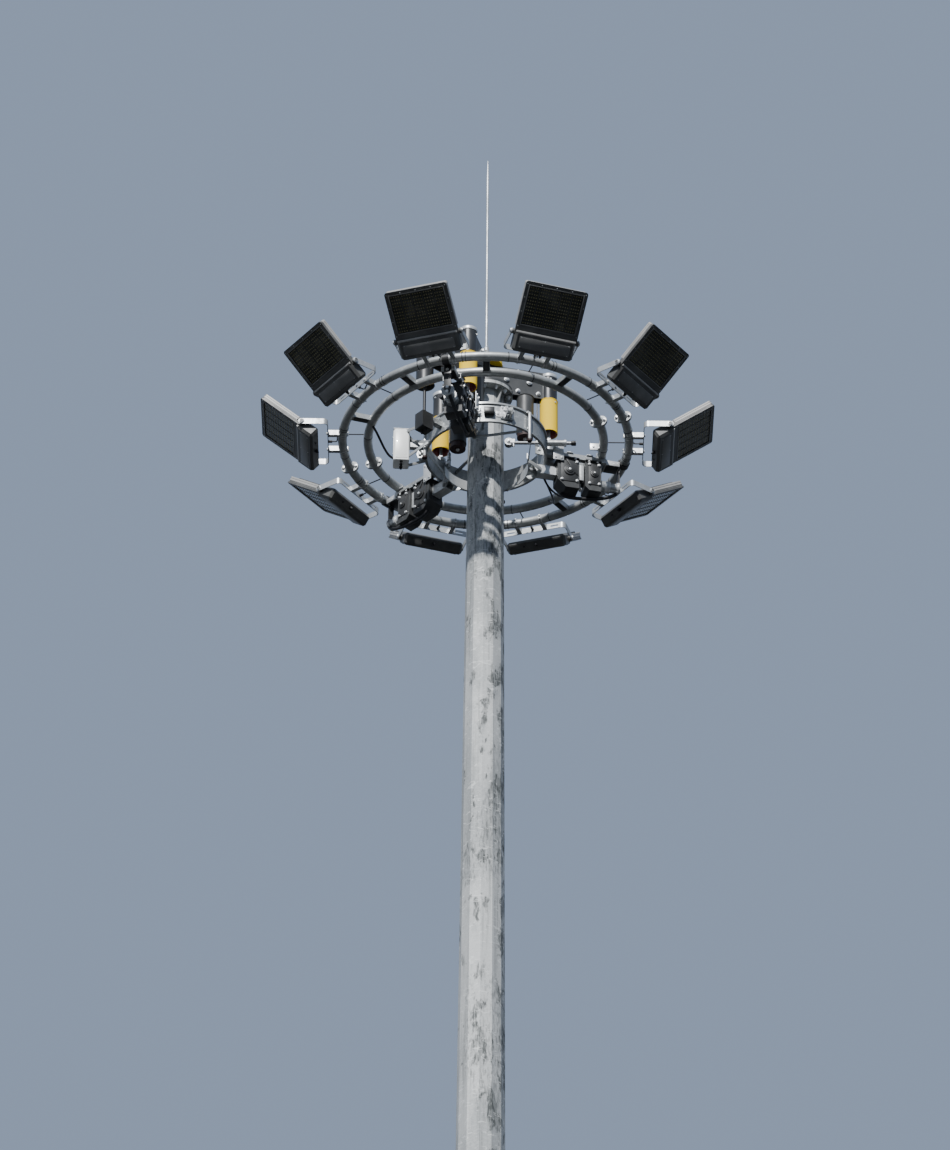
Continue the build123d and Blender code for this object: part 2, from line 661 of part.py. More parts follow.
def carriage_box(near, far, top, bevel):
    """Open-topped box of thick plates with a lip, bevelled at the foot of its near end."""
    floor = top - CARRIAGE_DEPTH
    wall = CARRIAGE_WALL
    slant = CARRIAGE_WALL * tan(radians(22.5))
    outline = (
        (near, top),
        (far, top),
        (far, floor),
        (near + bevel, floor),
        (near, floor + bevel),
    )
    inside = (
        (near + wall, top),
        (far - wall, top),
        (far - wall, floor + wall),
        (near + bevel + slant, floor + wall),
        (near + wall, floor + bevel + slant),
    )
    inner_width = STATION_WIDTH - 2 * wall
    shell = upright_plate(outline, STATION_WIDTH)
    shell += block(near, far, STATION_WIDTH + 2 * CARRIAGE_LIP, top - wall, top)
    return shell - upright_plate(inside, inner_width)


def carriage(top):
    """Drum box and brake box of one station, linked by a clevis block."""
    drum_far = SEAT_END + DRUM_BOX_LENGTH
    brake_near = drum_far + CARRIAGE_GAP
    link_top = top - (CARRIAGE_DEPTH - CARRIAGE_LINK_HEIGHT) / 2
    boxes = carriage_box(SEAT_END, drum_far, top, CARRIAGE_CHAMFER)
    boxes += carriage_box(brake_near, CARRIAGE_FAR, top, CARRIAGE_CHAMFER / 2)
    boxes += block(drum_far, brake_near, CARRIAGE_LINK_WIDTH, link_top - CARRIAGE_LINK_HEIGHT, link_top)
    return boxes


def stub(level):
    """Tube stub beyond the brake box, with a clamping collar and an end flange."""
    far = CARRIAGE_FAR + STUB_LENGTH
    collar = STUB_RADIUS + STUB_COLLAR
    tube = radial_drum(STUB_RADIUS, CARRIAGE_FAR, far, level)
    tube += radial_drum(collar, CARRIAGE_FAR, CARRIAGE_FAR + STUB_COLLAR_LENGTH, level)
    tube += radial_drum(collar, far - STUB_FLANGE_LENGTH, far, level)
    return tube - radial_drum(STUB_RADIUS - STUB_WALL, CARRIAGE_FAR, far - STUB_FLANGE_LENGTH, level)


def build_hook_rods(foot):
    """Rods with pointed heads that rise into the latch tubes."""
    tip = RING_LEVEL + HOOK_ROD_TOP
    neck = tip - HOOK_HEAD_HEIGHT
    outline = Polyline(
        (0, foot),
        (HOOK_ROD_RADIUS, foot),
        (HOOK_ROD_RADIUS, neck),
        (HOOK_HEAD_RADIUS, neck),
        (HOOK_HEAD_RADIUS, neck + HOOK_HEAD_HEIGHT / 3),
        (HOOK_ROD_RADIUS / 2, tip),
        (0, tip),
        close=True,
    )
    rod = Pos(LATCH_REACH, 0, 0) * revolve(Plane.XZ * make_face(outline), Axis.Z)
    save("hook_rods", around(rod, STATION_ANGLES))


def build_guides():
    """Housings on the band and the rollers on rods that slide in them."""
    far = GUIDE_TUBE_END
    housing = radial_drum(GUIDE_TUBE_RADIUS, BAND_RADIUS, far, RING_LEVEL)
    flange = block(
        0.0, BAND_RADIUS + BAND_THICKNESS, GUIDE_PLATE_WIDTH, RING_LEVEL + GUIDE_PLATE_LOW,
        RING_LEVEL + GUIDE_PLATE_HIGH,
    )
    body = housing + (flange - drum(BAND_RADIUS, RING_LEVEL - OPEN_LENGTH, RING_LEVEL + OPEN_LENGTH))
    body -= radial_drum(GUIDE_ROD_RADIUS + GUIDE_BORE_GAP, 0.0, far, RING_LEVEL)
    save("guide_housings", around(body, GUIDE_ANGLES))
    centre = mast_corner(RING_LEVEL) + GUIDE_GAP + ROLLER_RADIUS
    fork_half = ROLLER_WIDTH / 2 + FORK_GAP
    fork_end = centre + ROLLER_RADIUS + 2 * FORK_PLATE
    fork = block(centre, fork_end, 2 * (fork_half + FORK_PLATE), RING_LEVEL - ROLLER_RADIUS / 2,
                 RING_LEVEL + ROLLER_RADIUS / 2)
    fork += cross_drum(ROLLER_RADIUS / 2, 2 * (fork_half + FORK_PLATE), centre, RING_LEVEL)
    fork -= block(centre - ROLLER_RADIUS, fork_end - FORK_PLATE, 2 * fork_half, RING_LEVEL - ROLLER_RADIUS,
                  RING_LEVEL + ROLLER_RADIUS)
    rod = radial_drum(GUIDE_ROD_RADIUS, fork_end, GUIDE_ROD_END, RING_LEVEL)
    cap = radial_drum(GUIDE_CAP_RADIUS, GUIDE_ROD_END, GUIDE_ROD_END + GUIDE_CAP_LENGTH, RING_LEVEL)
    pin = cross_drum(ROLLER_PIN_RADIUS, 2 * (fork_half + FORK_PLATE), centre, RING_LEVEL)
    roller = cross_drum(ROLLER_RADIUS, ROLLER_WIDTH, centre, RING_LEVEL)
    roller -= cross_drum(ROLLER_PIN_RADIUS + SHEAVE_BORE_GAP, ROLLER_WIDTH, centre, RING_LEVEL)
    plunger = Compound([fork + rod + cap + pin, roller])
    for number, angle in enumerate(GUIDE_ANGLES, start=1):
        save(f"guide_{number}", turned(plunger, angle))


def yoke_bar():
    """Flat bar bent into a U, with slots in its base and round ends at the pivot."""
    far = PIVOT_REACH
    near = far - YOKE_DEPTH
    half = YOKE_WIDTH / 2
    low = RING_LEVEL - YOKE_BAR_HEIGHT / 2
    outer = Pos((near + far) / 2, 0) * Rectangle(YOKE_DEPTH, YOKE_WIDTH)
    outer = fillet(outer.vertices().group_by(Axis.X)[0], YOKE_BEND_RADIUS)
    inner_near = near + YOKE_BAR_THICKNESS
    inner = Pos((inner_near + far) / 2, 0) * Rectangle(far - inner_near, YOKE_WIDTH - 2 * YOKE_BAR_THICKNESS)
    inner = fillet(inner.vertices().group_by(Axis.X)[0], YOKE_BEND_RADIUS - YOKE_BAR_THICKNESS)
    bar = Pos(0, 0, low) * extrude(outer - inner, YOKE_BAR_HEIGHT)
    for side in (-1, 1):
        wall = half - YOKE_BAR_THICKNESS / 2
        end = cross_drum(YOKE_BAR_HEIGHT / 2, YOKE_BAR_THICKNESS, far, RING_LEVEL, side * wall)
        bar += end
        bar -= cross_drum(PIVOT_BOLT_RADIUS + PIVOT_GAP, YOKE_BAR_THICKNESS, far, RING_LEVEL, side * wall)
        slot = extrude(Plane.YZ * SlotOverall(YOKE_SLOT_LENGTH, YOKE_SLOT_WIDTH), YOKE_BAR_THICKNESS)
        bar -= Pos(near, side * YOKE_SLOT_OFFSET, RING_LEVEL) * slot
    return bar - radial_drum(YOKE_HOLE_RADIUS, near, near + YOKE_BAR_THICKNESS, RING_LEVEL)


def build_yokes():
    """Yokes of all floodlights and the blocks that hold them off the outer ring."""
    save("lamp_yokes", around(yoke_bar(), FLOOD_ANGLES))
    low = RING_LEVEL - BLOCK_HEIGHT / 2
    near = OUTER_RING_RADIUS
    far = PIVOT_REACH - YOKE_DEPTH
    torus = ring_torus(OUTER_RING_RADIUS)
    blocks = [
        block(near, far, BLOCK_WIDTH, low, low + BLOCK_HEIGHT, side) - torus
        for side in (-BLOCK_OFFSET, BLOCK_OFFSET)
    ]
    save("yoke_blocks", around(Compound(blocks), FLOOD_ANGLES))


def lamp_outline(inset):
    """Front view of the lamp's plate from inside its driver box, its far corners rounded."""
    far = LAMP_WINDOW_LENGTH - inset
    outline = Pos((far - LAMP_LAP) / 2, 0) * Rectangle(far + LAMP_LAP, LAMP_WIDTH - 2 * inset)
    return fillet(outline.vertices().group_by(Axis.X)[-1], LAMP_CORNER_RADIUS)


def driver_box():
    """Box behind the pivot, bevelled on every edge but those of its joint with the plate."""
    width = LAMP_WIDTH - 2 * LAMP_BOX_SIDE_INSET
    box = block(-LAMP_BOX_LENGTH, 0.0, width, LAMP_BOX_LOW, LAMP_BOX_TOP)
    return chamfer([edge for edge in box.edges() if edge.center().X < 0], LAMP_BOX_BEVEL)


def flood_housing():
    """Finned floodlight body with its driver box, lying level about its pivot."""
    half = LAMP_WIDTH / 2
    rim_top = LAMP_FACE + LAMP_RIM
    body = Pos(0, 0, LAMP_FACE) * extrude(lamp_outline(0.0), LAMP_RIM)
    body += Pos(0, 0, rim_top) * extrude(lamp_outline(LAMP_RIM_STEP), LAMP_PLATE_TOP - rim_top)
    body -= block(
        LAMP_BAND, LAMP_WINDOW_LENGTH - LAMP_BEZEL, LAMP_WIDTH - 2 * LAMP_BEZEL, LAMP_FACE,
        LAMP_FACE + WINDOW_RECESS + WINDOW_THICKNESS,
    )
    pitch = (LAMP_WIDTH - 2 * LAMP_BEZEL) / (LAMP_FINS - 1)
    for index in range(LAMP_FINS):
        y = -half + LAMP_BEZEL + pitch * index
        outline = (
            (-LAMP_LAP, LAMP_PLATE_TOP - LAMP_RIM_STEP),
            (LAMP_WINDOW_LENGTH - LAMP_BEZEL, LAMP_PLATE_TOP - LAMP_RIM_STEP),
            (LAMP_WINDOW_LENGTH - LAMP_FIN_TOP - LAMP_BEZEL, LAMP_FIN_TOP),
            (-LAMP_LAP, LAMP_FIN_TOP),
        )
        body += upright_plate(outline, LAMP_FIN_THICKNESS, y)
    body += driver_box()
    ridge_width = LAMP_WIDTH - 2 * LAMP_BOX_SIDE_INSET
    body += cross_drum(LAMP_RIDGE_RADIUS, ridge_width, LAMP_RIDGE_RADIUS / 2, LAMP_FACE)
    inner_face = YOKE_WIDTH / 2 - YOKE_BAR_THICKNESS
    for side in (-1, 1):
        boss_start = half - LAMP_BEZEL
        boss_end = inner_face - PIVOT_GAP
        boss_middle = side * (boss_start + boss_end) / 2
        body += cross_drum(PIVOT_BOSS_RADIUS, boss_end - boss_start, 0.0, 0.0, boss_middle)
        bolt_end = YOKE_WIDTH / 2 + PIVOT_GAP
        bolt_middle = side * (boss_end + bolt_end) / 2
        body += cross_drum(PIVOT_BOLT_RADIUS, bolt_end - boss_end, 0.0, 0.0, bolt_middle)
        head_middle = side * (bolt_end + PIVOT_BOLT_HEAD / 2)
        body += cross_drum(2 * PIVOT_BOLT_RADIUS, PIVOT_BOLT_HEAD, 0.0, 0.0, head_middle)
    return body


def flood_window():
    """Glass pane set in the floodlight's face."""
    return block(
        LAMP_BAND, LAMP_WINDOW_LENGTH - LAMP_BEZEL, LAMP_WIDTH - 2 * LAMP_BEZEL,
        LAMP_FACE + WINDOW_RECESS, LAMP_FACE + WINDOW_RECESS + WINDOW_THICKNESS,
    )


def build_floods():
    """All floodlights, each aimed by its own tilt about its pivot."""
    housing = flood_housing()
    window = flood_window()
    for number, (angle, tilt) in enumerate(zip(FLOOD_ANGLES, FLOOD_TILTS), start=1):
        place = Rot(0, 0, angle) * Pos(PIVOT_REACH, 0, RING_LEVEL) * Rot(0, -tilt, 0)
        save(f"flood_{number:02d}_housing", place * housing)
        save(f"flood_{number:02d}_window", place * window)


def build_boxes():
    """Control box, cable box and the brackets that carry them from the guide band."""
    low = RING_LEVEL + CONTROL_BOX_LOW
    near = CONTROL_BOX_REACH - CONTROL_BOX_DEPTH / 2
    far = CONTROL_BOX_REACH + CONTROL_BOX_DEPTH / 2
    box = block(near, far, CONTROL_BOX_WIDTH, low, low + CONTROL_BOX_HEIGHT)
    box = chamfer(box.edges().filter_by(Axis.Z), CONTROL_BOX_EDGE)
    save("control_box", turned(box, CONTROL_BOX_ANGLE))
    cable_near = CABLE_REACH - CABLE_BOX_LENGTH / 2
    cable_far = CABLE_REACH + CABLE_BOX_LENGTH / 2
    top = RING_LEVEL + CABLE_BOX_HIGH
    gland = CABLE_RADIUS + CABLE_GLAND_GAP + CABLE_GLAND_WALL
    box = block(cable_near, cable_far, CABLE_BOX_WIDTH, RING_LEVEL + CABLE_BOX_LOW, top)
    box += pipe(gland, CABLE_GLAND_WALL, top, top + CABLE_GLAND_HEIGHT, CABLE_REACH)
    save("cable_box", turned(box, CABLE_ARM_ANGLE))
    band = drum(BAND_RADIUS, RING_LEVEL + BAND_LOW, RING_LEVEL + BAND_HIGH)
    control_bar = block(0.0, near, BEAM_SIZE, top - BEAM_SIZE, top) - band
    cable_bar = block(0.0, cable_near, BEAM_SIZE, top - BEAM_SIZE, top) - band
    bars = [turned(control_bar, CONTROL_BOX_ANGLE), turned(cable_bar, CABLE_ARM_ANGLE)]
    save("box_brackets", Compound(bars))


def build_falls():
    """Falls of the hoist ropes and of the supply cable from the head to the ring."""
    low = RING_LEVEL + BAND_HIGH + SOCKET_HEIGHT
    save("hoist_ropes", around(drum(ROPE_RADIUS, low, MAST_HEIGHT, ROPE_OUTER_REACH), STATION_ANGLES))
    cable = drum(CABLE_RADIUS, RING_LEVEL + CABLE_BOX_HIGH, MAST_HEIGHT, CABLE_REACH)
    save("power_cable", turned(cable, CABLE_ARM_ANGLE))


def build_leads():
    """Lead of each floodlight, over both rings and down to the gland in its yoke's base."""
    over = RING_TUBE_RADIUS + LEAD_RADIUS
    yoke_near = PIVOT_REACH - YOKE_DEPTH
    stop = yoke_near - LEAD_GLAND_LENGTH
    path = FilletPolyline(
        (INNER_RING_RADIUS, LEAD_SIDE, RING_LEVEL + over),
        (OUTER_RING_RADIUS + over, LEAD_SIDE, RING_LEVEL + over),
        (OUTER_RING_RADIUS + over, 0, RING_LEVEL),
        (stop, 0, RING_LEVEL),
        radius=LEAD_BEND,
    )
    start = Plane(origin=path @ 0, z_dir=path % 0)
    lead = sweep(start * Circle(LEAD_RADIUS), path)
    gland = radial_drum(LEAD_GLAND_RADIUS, stop, yoke_near + YOKE_BAR_THICKNESS, RING_LEVEL)
    save("lamp_leads", around(lead + gland, FLOOD_ANGLES))


build_base()
build_mast()
build_head_flange()
build_head_frame()
build_head_ropes()
build_latches()
build_cable_bell()
build_cap_and_rod()
build_rings()
build_band()
build_stations()
build_guides()
build_yokes()
build_floods()
build_boxes()
build_falls()
build_leads()
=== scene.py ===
import json
import logging
import math
from dataclasses import dataclass, field
from enum import Enum
from itertools import product
from typing import Iterable, Sequence

import bmesh
import bpy
from mathutils import Matrix, Vector


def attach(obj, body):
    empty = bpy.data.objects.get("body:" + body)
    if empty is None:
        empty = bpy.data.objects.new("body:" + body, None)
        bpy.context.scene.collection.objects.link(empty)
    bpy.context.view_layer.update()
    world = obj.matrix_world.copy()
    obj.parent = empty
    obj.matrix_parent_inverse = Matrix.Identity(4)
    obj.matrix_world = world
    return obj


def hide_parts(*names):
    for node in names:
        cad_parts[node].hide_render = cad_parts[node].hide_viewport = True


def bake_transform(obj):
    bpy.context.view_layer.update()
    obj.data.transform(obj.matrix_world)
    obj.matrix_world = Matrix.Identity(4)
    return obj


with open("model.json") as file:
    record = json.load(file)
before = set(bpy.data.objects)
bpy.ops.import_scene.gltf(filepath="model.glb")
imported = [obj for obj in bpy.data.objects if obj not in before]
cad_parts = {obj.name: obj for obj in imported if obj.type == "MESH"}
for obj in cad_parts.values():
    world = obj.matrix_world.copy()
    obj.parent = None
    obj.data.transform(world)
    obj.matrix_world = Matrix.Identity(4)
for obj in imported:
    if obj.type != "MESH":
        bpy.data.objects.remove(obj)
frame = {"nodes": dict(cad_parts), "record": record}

Colour = tuple[float, float, float]
Spot = tuple[float, float, float]
Corner = tuple[float, float]
Stop = tuple[float, Colour]

LOG = logging.getLogger("mast")
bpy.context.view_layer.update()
MAST_SIDES = 12
FIRST_CORNER = -4.0
STATION_ANGLES = (14.0, 134.0, 254.0)
SPACER_ANGLES = (18.0, 54.0, 90.0, 126.0, 198.0, 234.0, 270.0, 306.0)
GUIDE_ANGLES = (0.0, 120.0, 240.0)
FLOOD_ANGLES = tuple(36.0 * index for index in range(10))
CABLE_ANGLE = 221.0
CABLE_REACH = 0.575
OUTER_RING = 1.015
INNER_RING = 0.835
TUBE_RADIUS = 0.032
PIVOT_REACH = 1.300
RING_LEVEL = 24.58
HEAD_LEVEL = 25.0
STAY_SECTION = (0.022, 0.006)
SLANT_SECTION = (0.014, 0.005)
BRACE_SECTION = (0.030, 0.005)


@dataclass(frozen=True)
class Value:
    """Number socket whose arithmetic adds Math nodes to its tree."""

    graph: "Graph"
    socket: bpy.types.NodeSocket

    def _join(self, operation: str, first: "Value | float", second: "Value | float") -> "Value":
        """Result of one Math node with these operands."""
        made = self.graph.node("ShaderNodeMath", {"operation": operation}, {0: first, 1: second})
        return Value(self.graph, made.outputs[0])

    def __add__(self, other: "Value | float") -> "Value":
        """Sum."""
        return self._join("ADD", self, other)

    __radd__ = __add__

    def __sub__(self, other: "Value | float") -> "Value":
        """Difference."""
        return self._join("SUBTRACT", self, other)

    def __rsub__(self, other: float) -> "Value":
        """Reflected difference."""
        return self._join("SUBTRACT", other, self)

    def __mul__(self, other: "Value | float") -> "Value":
        """Product."""
        return self._join("MULTIPLY", self, other)

    __rmul__ = __mul__

    def between(self, low: float, high: float) -> "Value":
        """Stretch the part from low to high over nought to one, clipped.

        Args:
            low: Value that becomes nought.
            high: Value that becomes one.

        Returns:
            The stretched value.
        """
        settings = {"clamp": True, "interpolation_type": "SMOOTHSTEP"}
        inputs = {0: self, 1: low, 2: high, 3: 0.0, 4: 1.0}
        return Value(self.graph, self.graph.node("ShaderNodeMapRange", settings, inputs).outputs[0])


class Graph:
    """Node tree of one material."""

    def __init__(self, name: str) -> None:
        """Start an empty material with a principled surface.

        Args:
            name: Name of the material.
        """
        self.material = bpy.data.materials.new(name)
        self.material.use_nodes = True
        self.tree = self.material.node_tree
        self.tree.nodes.clear()
        self.surface = self.tree.nodes.new("ShaderNodeBsdfPrincipled")
        output = self.tree.nodes.new("ShaderNodeOutputMaterial")
        self.tree.links.new(self.surface.outputs[0], output.inputs["Surface"])
        self.place = self.node("ShaderNodeTexCoord").outputs["Object"]

    def node(self, kind: str, settings: dict | None = None, inputs: dict | None = None) -> bpy.types.Node:
        """Add one node, set it, then feed its sockets.

        Args:
            kind: Blender's type name of the node.
            settings: Properties by name.
            inputs: Values, sockets or Value objects by socket name or place.

        Returns:
            The node.
        """
        made = self.tree.nodes.new(kind)
        for key, setting in (settings or {}).items():
            setattr(made, key, setting)
        self.feed(made, inputs or {})
        return made

    def feed(self, node: bpy.types.Node, inputs: dict) -> None:
        """Link or set inputs of a node.

        Args:
            node: Node to feed.
            inputs: Values, sockets or Value objects by socket name or place.
        """
        for key, given in inputs.items():
            source = given.socket if isinstance(given, Value) else given
            if isinstance(source, bpy.types.NodeSocket):
                self.tree.links.new(source, node.inputs[key])
            else:
                node.inputs[key].default_value = source

    def stretched(self, scale: Sequence[float]) -> bpy.types.NodeSocket:
        """Object coordinates multiplied axis by axis."""
        inputs = {"Vector": self.place, "Scale": scale}
        return self.node("ShaderNodeMapping", {"vector_type": "POINT"}, inputs).outputs[0]

    def noise(
        self, scale: float, detail: float = 3.0, roughness: float = 0.55,
        stretch: Sequence[float] = (1.0, 1.0, 1.0), distortion: float = 0.0,
    ) -> Value:
        """Cloudy pattern between nought and one.

        Args:
            scale: Features to the metre.
            detail: Octaves.
            roughness: Strength of the fine octaves.
            stretch: Factor along each axis.
            distortion: Swirl of the pattern.

        Returns:
            The pattern.
        """
        inputs = {
            "Vector": self.stretched(stretch), "Scale": scale, "Detail": detail,
            "Roughness": roughness, "Distortion": distortion,
        }
        return Value(self, self.node("ShaderNodeTexNoise", None, inputs).outputs["Fac"])

    def across(self) -> Value:
        """Place along X, in metres."""
        return Value(self, self.node("ShaderNodeSeparateXYZ", None, {0: self.place}).outputs[0])

    def cells(self, scale: float) -> Value:
        """Patchwork of flat cells, each with its own number.

        Args:
            scale: Cells to the metre.

        Returns:
            The number of the cell.
        """
        inputs = {"Vector": self.stretched((1.0, 1.0, 1.0)), "Scale": scale}
        made = self.node("ShaderNodeTexVoronoi", {"feature": "F1"}, inputs)
        split = self.node("ShaderNodeSeparateColor", None, {0: made.outputs["Color"]})
        return Value(self, split.outputs[0])

    def mix(
        self, factor: Value, first: Colour | bpy.types.NodeSocket, second: Colour | bpy.types.NodeSocket,
    ) -> bpy.types.NodeSocket:
        """Blend of two colours.

        Args:
            factor: Share of the second.
            first: Colour or colour socket.
            second: Colour or colour socket.

        Returns:
            The blended colour.
        """
        sides = [(*side, 1.0) if isinstance(side, tuple) else side for side in (first, second)]
        settings = {"data_type": "RGBA", "blend_type": "MIX"}
        return self.node("ShaderNodeMix", settings, {0: factor, 6: sides[0], 7: sides[1]}).outputs[2]

    def bump(self, height: Value, depth: float, strength: float) -> bpy.types.NodeSocket:
        """Normal of a height pattern."""
        inputs = {"Height": height, "Distance": depth, "Strength": strength}
        return self.node("ShaderNodeBump", None, inputs).outputs[0]


@dataclass(frozen=True)
class Look:
    """Recipe of one material."""

    name: str

    def build(self) -> bpy.types.Material:
        """Make the material.

        Returns:
            The finished material.
        """
        graph = Graph(self.name)
        graph.feed(graph.surface, self.sockets(graph))
        return graph.material

    def sockets(self, graph: Graph) -> dict[str, object]:
        """Add the nodes of this look and say what goes into each socket of the surface."""
        raise NotImplementedError


@dataclass(frozen=True)
class Zinc(Look):
    """Hot-dip galvanised steel, from bright to blotchy and weathered."""

    bright: Colour
    dull: Colour
    stain: Colour
    stain_share: float
    streaks: float
    grain: float = 1.0
    metallic: float = 0.5
    roughness: float = 0.36
    lean: float = 0.0

    def sockets(self, graph: Graph) -> dict[str, object]:
        """Spangle under clouds, runs, stains and scratches, with painted shade on one side where lean is set.

        Args:
            graph: Tree that takes the nodes.

        Returns:
            What goes into each socket of the surface.
        """
        clouds = graph.noise(7.0 * self.grain, 4.0, 0.55, (1.0, 1.0, 0.4), 0.2)
        spangle = graph.cells(95.0)
        runs = graph.noise(26.0, 3.0, 0.6, (1.0, 1.0, 0.035))
        fine = graph.noise(160.0, 2.0, 0.5)
        tone = clouds.between(0.42, 0.58) * 0.65 + spangle * 0.35
        metal = graph.mix(tone, self.bright, self.dull)
        # Where lean is set, patches and spots thicken towards +X, the side away from the key sun: partly real
        # staining, partly painted shade on that side.
        patches = graph.noise(5.0 * self.grain, 3.0, 0.5, (1.0, 1.0, 0.5)) + graph.across() * self.lean
        hatch = graph.noise(75.0, 3.0, 0.6, (1.0, 1.0, 0.22), 0.3)
        scrubbed = patches.between(0.47, 0.58) * hatch.between(0.46, 0.62) * self.streaks
        wash = runs.between(0.50, 0.72) * self.streaks * 0.5
        spots = graph.noise(17.0 * self.grain, 4.0, 0.62, (1.0, 1.0, 0.42), 0.3) + graph.across() * self.lean
        low = 0.72 - 0.14 * self.stain_share
        stains_and_side_shade = spots.between(low, low + 0.07) * (hatch.between(0.40, 0.60) * 0.45 + 0.45)
        washed = graph.mix(wash + scrubbed * 0.6, metal, self.stain)
        marked = graph.mix(stains_and_side_shade, washed, self.stain)
        scratch = graph.noise(13.0, 3.0, 0.5, (1.0, 1.3, 2.4), 1.6)
        polished = tuple(min(0.8, 1.3 * part) for part in self.bright)
        return {
            "Base Color": graph.mix(scratch.between(0.60, 0.68) * 0.6, marked, polished),
            "Roughness": self.roughness + tone * 0.12 + stains_and_side_shade * 0.2,
            "Metallic": self.metallic,
            "Normal": graph.bump(clouds * 0.5 + fine * 0.2 + spangle * 0.3, 0.0005, 0.35),
        }


@dataclass(frozen=True)
class Paint(Look):
    """Sprayed or powder-coated metal with faint orange peel, dust and wear."""

    colour: Colour
    dust: Colour
    dust_share: float = 0.25
    roughness: float = 0.42
    coat: float = 0.0

    def sockets(self, graph: Graph) -> dict[str, object]:
        """Film of dust and grit over orange peel.

        Args:
            graph: Tree that takes the nodes.

        Returns:
            What goes into each socket of the surface.
        """
        clouds = graph.noise(7.0, 5.0, 0.6, (1.0, 1.0, 0.6), 0.3)
        peel = graph.noise(620.0, 1.0, 0.5)
        flecks = graph.noise(85.0, 3.0, 0.6)
        film = clouds.between(0.42, 0.72) * self.dust_share
        grit = flecks.between(0.60, 0.74) * (0.5 * self.dust_share)
        return {
            "Base Color": graph.mix(film + grit, self.colour, self.dust),
            "Roughness": self.roughness + film * 0.4,
            "Metallic": 0.0,
            "Coat Weight": self.coat,
            "Normal": graph.bump(peel * 0.6 + flecks * 0.4, 0.0002, 0.3),
        }


@dataclass(frozen=True)
class Moulded(Look):
    """Moulded plastic or rubber, sun-bleached in clouds."""

    colour: Colour
    faded: Colour
    roughness: float = 0.5
    fade_share: float = 0.5

    def sockets(self, graph: Graph) -> dict[str, object]:
        """Clouds of fading over fine pores.

        Args:
            graph: Tree that takes the nodes.

        Returns:
            What goes into each socket of the surface.
        """
        clouds = graph.noise(9.0, 4.0, 0.55, (1.0, 1.0, 0.5), 0.2)
        pores = graph.noise(420.0, 2.0, 0.5)
        fade = clouds.between(0.38, 0.70) * self.fade_share
        return {
            "Base Color": graph.mix(fade, self.colour, self.faded),
            "Roughness": self.roughness + fade * 0.2,
            "Normal": graph.bump(pores, 0.00015, 0.3),
        }


@dataclass(frozen=True)
class Rope(Look):
    """Stranded wire, with slanted lay lines darkened in their grooves as painted shade."""

    bright: Colour
    dark: Colour
    pitch: float = 150.0

    def sockets(self, graph: Graph) -> dict[str, object]:
        """Slanted lay lines with painted shade in their grooves, dulled in clouds.

        Args:
            graph: Tree that takes the nodes.

        Returns:
            What goes into each socket of the surface.
        """
        inputs = {
            "Vector": graph.stretched((1.0, 1.0, 1.0)), "Scale": self.pitch, "Distortion": 0.0, "Detail": 0.0,
        }
        waves = graph.node("ShaderNodeTexWave", {"bands_direction": "DIAGONAL"}, inputs)
        lay = Value(graph, waves.outputs["Fac"])
        clouds = graph.noise(30.0)
        return {
            # The dark colour falls in the low grooves that the bump sinks: painted shade between the strands.
            "Base Color": graph.mix(lay * 0.7 + clouds * 0.3, self.dark, self.bright),
            "Roughness": 0.34 + clouds * 0.25,
            "Metallic": 0.8,
            "Normal": graph.bump(lay, 0.0008, 0.7),
        }


@dataclass(frozen=True)
class Pane(Look):
    """Floodlight glass: a dark, dusty sheet."""

    colour: Colour
    dust: Colour

    def sockets(self, graph: Graph) -> dict[str, object]:
        """Film of dust with specks.

        Args:
            graph: Tree that takes the nodes.

        Returns:
            What goes into each socket of the surface.
        """
        clouds = graph.noise(6.0, 4.0, 0.6)
        specks = graph.noise(240.0, 2.0, 0.6)
        film = clouds.between(0.40, 0.70) * 0.45 + specks.between(0.62, 0.76) * 0.25
        colour = graph.mix(film, self.colour, self.dust)
        return {"Base Color": colour, "Roughness": 0.14 + film * 0.4, "Coat Weight": 0.3}


